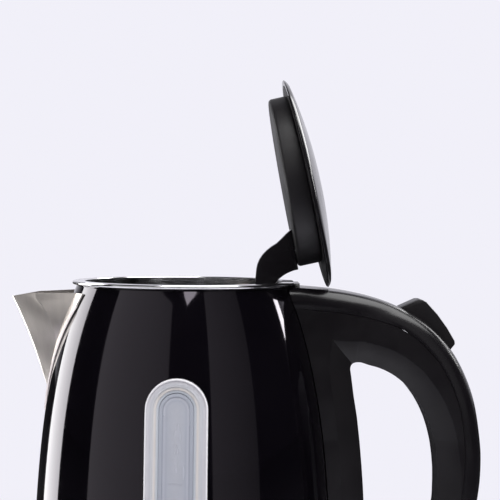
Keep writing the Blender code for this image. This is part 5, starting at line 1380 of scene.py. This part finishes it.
def handle_parts():
    blank = handle_blank()
    shared_cutters = [
        chamfer_cutter(-1),
        chamfer_cutter(1),
        round_cutter(),
        body_plug("handle_seat", GAP),
        handle_cavity("handle_hollow"),
        root_pocket("handle_root_pocket"),
        tube("handle_steam_port", steam_path(0.003), STEAM_TUBE_R + GAP, 2, is_cutter=True)]
    shell = add_object("handle_shell", blank.data.copy())
    cover = add_object("handle_cover", blank.data.copy())
    bpy.data.objects.remove(blank, do_unlink=True)
    boolean(shell, seam_region("cover_region", 0.0), solver="MANIFOLD")
    boolean(cover, seam_region("cover_keep", SEAM), "INTERSECT", solver="MANIFOLD")
    for cutter in shared_cutters:
        boolean(shell, cutter, solver="MANIFOLD")
        boolean(cover, cutter, solver="MANIFOLD")
    low, high, reach = SPRING_SEAT - 0.004, SPRING_SEAT, HANDLE_CAVITY_HALF + 0.001
    corners = [button_point(*place) for place in ((0.0, low), (0.012, low), (0.012, high), (0.0, high))]
    seat = slab("spring_seat", corners, -reach, reach, is_cutter=True)
    boolean(shell, seat, "UNION", solver="MANIFOLD")
    pocket = slab("button_pocket", button_outline(GAP), -BUTTON_HALF_W - GAP, BUTTON_HALF_W + GAP, "XZ",
                  is_cutter=True)
    for piece in (shell, cover):
        boolean(piece, pocket, solver="MANIFOLD")
        finish(piece, angle_deg=28.0)


# ---- lid ----
def steam_path(longer):
    """The steam tube's middle line, from the hinge housing's vent down to the switch."""
    start = (0.0662 - 0.25 * longer, 0, RIM_Z - 0.0296 + longer)
    along = [(0.0682, 0.0366), (0.0745, 0.0560), (0.0795, 0.0850), (STEAM_X_LOW, 0.1150),
             (STEAM_X_LOW, 0.1400)]
    return [start] + [(x, 0, RIM_Z - drop) for x, drop in along] + [(STEAM_X_LOW, 0, RIM_Z - 0.1740 - longer)]


def lid_parts():
    flange_z = RIM_Z + 0.0001
    crown = []
    steps = 24
    edge_z = flange_z + LID_EDGE
    for index in range(steps + 1):
        share = index / steps
        radius = (LID_R - 0.0024) * share
        crown.append((radius, flange_z + LID_CROWN - (LID_CROWN - LID_EDGE - 0.0006) * share ** 2.1))
    outer = crown + [(LID_R - 0.0009, edge_z - 0.0002), (LID_R, edge_z - 0.0012), (LID_R, flange_z + 0.0005),
                     (LID_R - 0.0004, flange_z)]
    seat_r = LID_R - 0.0026
    inner = [(seat_r, flange_z), (seat_r, flange_z + LID_EDGE - 0.0009)]
    for index in range(steps - 1, -1, -1):
        radius, z = crown[index]
        inner.append((radius, z - LID_SHELL))
    dome = turned("lid_dome", outer + inner, False)
    finish(dome, True)

    disc_r = seat_r - GAP
    liner = disc("lid_liner", disc_r, flange_z + 0.0008, flange_z, SEGMENTS)
    liner = flat(liner, "lid_liner")
    plug = flat(soften(sloped_plug("plug_outside", PLUG_R, flange_z + 0.0005, PLUG_DEPTH), 0.0016, 4),
                "plug_rounded", True)
    boolean(liner, plug, "UNION")
    room = sloped_plug("plug_inside", PLUG_R - PLUG_WALL, flange_z + 0.01, PLUG_DEPTH - PLUG_WALL)
    boolean(liner, room)

    arm = lid_arm(flange_z)
    x = LID_SCREW_X
    for number, y in ((1, -LID_SCREW_Y), (2, LID_SCREW_Y)):
        floor = flange_z - PLUG_DEPTH - PLUG_SLOPE * (x - PLUG_X)
        hole = rod(f"lid_screw_hole_{number}", (x, y, floor - 0.0085), (x, y, floor + 0.02),
                   SCREW_R + GAP, 14, True)
        boolean(liner, hole)
        boolean(arm, hole)
        head = PLUG_WALL + 0.0006
        bolt = turned(f"lid_screw_{number}", [
            (0.0, head + 0.0014), (0.0028, head + 0.0014), (0.0028, head), (SCREW_R, head),
            (SCREW_R, -0.0080), (0.0, -0.0080)], False, FINE_SEGMENTS)
        finish(moved(bolt, x, y, floor), True)
    finish(liner, True)
    finish(arm, True)


def sloped_plug(name, radius, top, depth):
    work = bmesh.new()
    bmesh.ops.create_cone(work, cap_ends=True, segments=40, radius1=radius, radius2=radius, depth=1.0)
    floor = RIM_Z + 0.0001 - depth
    for corner in work.verts:
        corner.co.z = top if corner.co.z > 0 else floor - PLUG_SLOPE * corner.co.x
        corner.co.x += PLUG_X
    bmesh.ops.recalc_face_normals(work, faces=work.faces)
    return from_bmesh(work, name, True)


def around_pivot(radius, angle_deg):
    angle = math.radians(angle_deg)
    return PIVOT.x + radius * math.cos(angle), PIVOT.z + radius * math.sin(angle)


def lid_arm(flange_z):
    """The gooseneck: from the plug's floor, round under the rim, and back up to the hinge pin."""
    def floor(x):
        return flange_z - PLUG_DEPTH - PLUG_SLOPE * (x - PLUG_X) - GAP
    outside = [(0.0206, floor(0.0206))] + [around_pivot(radius * MM, angle) for angle, radius in ARM_BACK]
    hook_in = [around_pivot(HOOK_IN_R, angle) for angle in (240, 234, 226, 218, 210, 202, 194, 186, 178)]
    spoke_right = [around_pivot(9.0 * MM, 268), around_pivot(6.4 * MM, 290)]
    spoke_left = [around_pivot(6.2 * MM, 205), around_pivot(8.0 * MM, 222)]
    outline = outside + spoke_right + spoke_left + hook_in + [(0.0404, floor(0.0404))]
    arm = slab("lid_arm", outline, -ARM_HALF_W, ARM_HALF_W)
    soften(arm, 0.0018, 4)
    hub = rod("arm_hub", (PIVOT.x, -ARM_HALF_W, PIVOT.z), (PIVOT.x, ARM_HALF_W, PIVOT.z), HUB_R, 32, True)
    boolean(arm, hub, "UNION")
    for name, start, radius, sides in (("spring_relief", 0.0034, HUB_R + 0.0012, 32),
                                       ("arm_bore", -0.02, PIN_R + GAP, 16)):
        boolean(arm, rod(name, (PIVOT.x, start, PIVOT.z), (PIVOT.x, 0.02, PIVOT.z), radius, sides, True))
    notch = box("latch_notch", (PIVOT.x + HUB_R - 0.0016, -LATCH_HALF_W - 0.0006, PIVOT.z - 0.0052),
                (PIVOT.x + HUB_R + 0.01, LATCH_HALF_W + 0.0006, PIVOT.z + 0.0004), True)
    boolean(arm, notch)
    return arm


# ---- release button and latch ----
def release_parts():
    crest = [button_point(BUTTON_LEFT, -0.0029), button_point(-0.0108, 0.0052), button_point(-0.0092, 0.0066),
             button_point(-0.0070, 0.0070), button_point(0.0010, 0.0058), button_point(0.0090, 0.0037),
             button_point(0.0160, 0.0011), button_point(BUTTON_RIGHT, 0.0000)]
    foot_right, foot_left = 0.1105, 0.1040
    ramp = BUTTON_TRAVEL * math.cos(BUTTON_TILT) / (BUTTON_TRAVEL * math.sin(BUTTON_TILT) + LATCH_TRAVEL)
    ramp_x, ramp_drop = 0.107, 0.0236

    def ramp_z(x, lift):
        return RIM_Z - ramp_drop + (x - ramp_x) * ramp + lift
    under = [button_point(BUTTON_RIGHT, BUTTON_FLOOR), button_point(0.0020, BUTTON_FLOOR),
             (foot_right, ramp_z(foot_right, 0.0004)), (foot_left, ramp_z(foot_left, 0.0004)),
             button_point(BUTTON_LEFT, BUTTON_FLOOR)]
    button = slab("release_button", crest + under, -BUTTON_HALF_W, BUTTON_HALF_W)
    soften(button, 0.0009, 2)
    for index, side in enumerate((-1, 1)):
        trim = slab(f"foot_trim_{index + 1}", [
            button_point(-0.03, BUTTON_FLOOR), button_point(0.03, BUTTON_FLOOR), button_point(0.03, -0.03),
            button_point(-0.03, -0.03)], *sorted((side * LATCH_HALF_W, side * 0.02)), is_cutter=True)
        boolean(button, trim)
    finish(button)

    high, low = PIVOT.z - 0.0005, PIVOT.z - 0.0045
    tip = PIVOT.x + HUB_R + 0.0004
    latch = slab("latch_slider", [
        (tip, high), (0.0880, high), (0.0962, RIM_Z - 0.0230), (0.0988, ramp_z(0.0988, 0.0)),
        (0.1066, ramp_z(0.1066, 0.0)), (0.1066, RIM_Z - 0.0305), (0.0965, RIM_Z - 0.0305), (0.0860, low),
        (tip, low)],
        -LATCH_HALF_W, LATCH_HALF_W)
    finish(latch)


def button_spring():
    """The coil under the button, from its seat on the handle up to the button's underside."""
    top, low = BUTTON_FLOOR - 2 * GAP, SPRING_SEAT + GAP
    turns, steps = 5, 20
    across = Vector((math.cos(BUTTON_TILT), 0, -math.sin(BUTTON_TILT)))
    ends = (button_point(SPRING_ALONG, out) for out in (low, top))
    start, end = (Vector((x, 0, z)) for x, z in ends)
    wire = (end - start).normalized() * SPRING_WIRE
    points = []
    for index in range(turns * steps + 1):
        angle = 2 * math.pi * index / steps
        middle = (start + wire).lerp(end - wire, index / (turns * steps))
        points.append(middle + (across * math.cos(angle) + Vector((0, 1, 0)) * math.sin(angle)) * SPRING_R)
    piece = flat(tube("button_spring", points, SPRING_WIRE, 3), "button_spring_look")
    smooth(piece.data)
    piece.data.materials.append(LOOKS["button_spring"][0])
    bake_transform(piece)
    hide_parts("button_spring")


def handle_screws():
    head_top = HOUSE_TOP - HOUSE_WALL - GAP
    for number, side in ((1, -1), (2, 1)):
        screw(f"handle_screw_{number}", (HANDLE_SCREW_X, side * HANDLE_SCREW_Y, head_top), SCREW_R, 0.0026,
              0.0100, 0.0004, 0.0, -0.0012)


# ---- studio and camera ----
BACKDROP = (0.880, 0.871, 0.945)
REAR = (0.25, 0.97, 0.0)      # the pale wall stands behind the object, a little to the handle's side
LAMP_FAR = 0.7                # the lamps in front stand this far from the jug's axis
LAMP_NEAR = 0.45
LAMP_TOP = 0.9
FLOOR_DARKENS = (0.22, 0.38)  # from the jug's axis: where the floor's own colour turns dark
SHADOW_FADES = (0.16, 0.45)   # and where the camera sees the backdrop's colour in place of the lit floor
SHADOW_SHARE = 0.75           # share of the backdrop's colour under the object
LAMPS = [                     # azimuth, distance, height, width, tall, radiance, fade, height aimed at
    ("left_front", -41, LAMP_FAR, 0.375, 0.84, 0.75, 0.64, 0.47, None),
    ("right_front", 42, LAMP_FAR, 0.375, 0.46, 0.75, 0.30, 0.40, None),
    ("left_strip", -114, LAMP_NEAR, 0.285, 0.19, 0.56, 4.6, 1.0, None),
    ("rear_high", 132, LAMP_TOP, 0.72, 0.45, 0.50, 5.0, 1.0, None),
    ("spark", 109, LAMP_TOP, 0.45, 0.09, 0.16, 11.0, 1.0, None),
    ("overhead", 45, 0.50, 1.2, 1.5, 0.9, 4.4, 1.0, 0.2),
    ("fill", 0, 1.2, 0.95, 1.2, 1.0, 2.6, 1.0, 0.15)]
EYE = (0.0324, -0.613, RIM_Z + 0.026)
EYE_DOWN_DEG = 1.0
EYE_ROLL_DEG = 0.45
LENS_MM = 88.0


def mixed(tree, share, first, second):
    """One shader over another, by a share of the second."""
    mix = tree.nodes.new("ShaderNodeMixShader")
    for socket, value in zip(mix.inputs, (share, first.outputs[0], second.outputs[0])):
        tree.links.new(value, socket)
    return mix.outputs[0]


def world_light():
    """A studio with a pale wall behind the object, dim elsewhere. The camera sees a plain backdrop."""
    world = bpy.data.worlds.new("studio")
    bpy.context.scene.world = world
    world.use_nodes = True
    tree = world.node_tree
    tree.nodes.clear()
    out = tree.nodes.new("ShaderNodeOutputWorld")
    coord = tree.nodes.new("ShaderNodeTexCoord")
    behind = tree.nodes.new("ShaderNodeVectorMath")
    behind.operation = "DOT_PRODUCT"
    behind.inputs[1].default_value = REAR
    tree.links.new(coord.outputs["Generated"], behind.inputs[0])
    studio = tree.nodes.new("ShaderNodeBackground")
    wall = tinted(tree, behind.outputs["Value"], (0.012, 0.011, 0.014), (0.80, 0.79, 0.86), 0.50, 0.88)
    tree.links.new(wall, studio.inputs["Color"])
    plain = tree.nodes.new("ShaderNodeBackground")
    plain.inputs["Color"].default_value = (*BACKDROP, 1)
    light_path = tree.nodes.new("ShaderNodeLightPath")
    rays = (light_path.outputs[kind] for kind in ("Is Camera Ray", "Is Transmission Ray"))
    tree.links.new(mixed(tree, math_node(tree, "MAXIMUM", *rays), studio, plain), out.inputs["Surface"])


def softbox(name, azimuth_deg, distance, height, width, tall, radiance, fade, aim_z):
    """A rectangular lamp round the object. Azimuth 0 is the camera's side and 90 the handle's. fade is the
    brightness of the lamp's right end, seen from the object, as a share of its left end."""
    light = bpy.data.lights.new(name, "AREA")
    light.shape = "RECTANGLE"
    light.size = width
    light.size_y = tall
    light.energy = radiance * math.pi * width * tall
    if fade < 1.0:
        light.use_nodes = True
        tree = light.node_tree
        glow = tree.nodes["Emission"]
        place = tree.nodes.new("ShaderNodeNewGeometry")
        across = tree.nodes.new("ShaderNodeSeparateXYZ")
        tree.links.new(place.outputs["Parametric"], across.inputs[0])
        tree.links.new(ranged(tree, across.outputs["X"], 1.0, fade, 0.0, 1.0), glow.inputs["Strength"])
    lamp = bpy.data.objects.new(name, light)
    bpy.context.scene.collection.objects.link(lamp)
    angle = math.radians(azimuth_deg)
    lamp.location = (distance * math.sin(angle), -distance * math.cos(angle), height)
    target = Vector((0.0, 0.0, height if aim_z is None else aim_z))
    lamp.rotation_euler = (target - lamp.location).to_track_quat("-Z", "Y").to_euler()
    lamp.visible_camera = False
    return lamp


def floor():
    """A wide floor that the camera sees as pale and plain as the backdrop, with the object's soft shadow.
    Away from the object its own colour is dark, so that the jug's lower half mirrors nothing there."""
    work = bmesh.new()
    bmesh.ops.create_circle(work, cap_ends=True, segments=96, radius=6.0)
    mesh = bpy.data.meshes.new("floor")
    work.to_mesh(mesh)
    work.free()
    thing = bpy.data.objects.new("floor", mesh)
    bpy.context.scene.collection.objects.link(thing)
    made = bpy.data.materials.new("floor_sweep")
    made.use_nodes = True
    tree = made.node_tree
    shader = tree.nodes["Principled BSDF"]
    shader.inputs["Roughness"].default_value = 0.85
    shader.inputs["Specular IOR Level"].default_value = 0.1
    here = placed(tree)
    paper = tinted(tree, noise(tree, here, 900.0, 3.0), (0.80, 0.79, 0.86), (0.82, 0.81, 0.88))
    away = length_of(tree, here)
    unlit = tree.nodes.new("ShaderNodeMix")
    unlit.data_type = "RGBA"
    tree.links.new(ranged(tree, away, 0.0, 1.0, *FLOOR_DARKENS), unlit.inputs["Factor"])
    pale, dark = (socket for socket in unlit.inputs if socket.type == "RGBA")
    tree.links.new(paper, pale)
    dark.default_value = (0.02, 0.02, 0.022, 1)
    tree.links.new(next(out for out in unlit.outputs if out.type == "RGBA"), shader.inputs["Base Color"])
    glow = tree.nodes.new("ShaderNodeEmission")
    glow.inputs["Color"].default_value = (*BACKDROP, 1)
    light_path = tree.nodes.new("ShaderNodeLightPath")
    plain = ranged(tree, away, SHADOW_SHARE, 1.0, *SHADOW_FADES)
    seen = math_node(tree, "MULTIPLY", light_path.outputs["Is Camera Ray"], plain)
    tree.links.new(mixed(tree, seen, shader, glow), tree.nodes["Material Output"].inputs["Surface"])
    mesh.materials.append(made)


def studio():
    world_light()
    floor()
    lamps = {row[0]: softbox(*row) for row in LAMPS}
    lamps["fill"].visible_glossy = False


def camera():
    data = bpy.data.cameras.new("camera")
    data.lens = LENS_MM
    data.sensor_width = 36.0
    data.clip_start = 0.02
    eye = bpy.data.objects.new("camera", data)
    bpy.context.scene.collection.objects.link(eye)
    pitch = Matrix.Rotation(math.radians(90.0 - EYE_DOWN_DEG), 4, "X")
    roll = Matrix.Rotation(math.radians(EYE_ROLL_DEG), 4, "Z")
    eye.matrix_world = Matrix.Translation(EYE) @ pitch @ roll
    bpy.context.scene.camera = eye


def main():
    for node, body in ((n, o["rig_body"]) for n, o in frame_nodes.items()):
        BODY_OF[node] = body
    LOOKS.update(all_looks())
    for collection in (parts, cutters):
        bpy.context.scene.collection.children.link(collection)
    base_parts()
    jug_body()
    rim_ring()
    spout()
    spout_filter()
    window_parts()
    socket_r = heater_parts()
    skirt_parts(socket_r)
    switch_parts()
    handle_parts()
    lid_parts()
    release_parts()
    button_spring()
    handle_screws()
    for node, thing in frame_nodes.items():
        if not thing.hide_render:
            keep_cad(node, 0.0 if "spring" in node else 0.0003)
    for cutter in list(cutters.objects):
        bpy.data.objects.remove(cutter, do_unlink=True)
    studio()
    camera()
    bpy.context.scene.view_settings.view_transform = "Standard"


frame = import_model()
frame_nodes = frame["nodes"]
main()
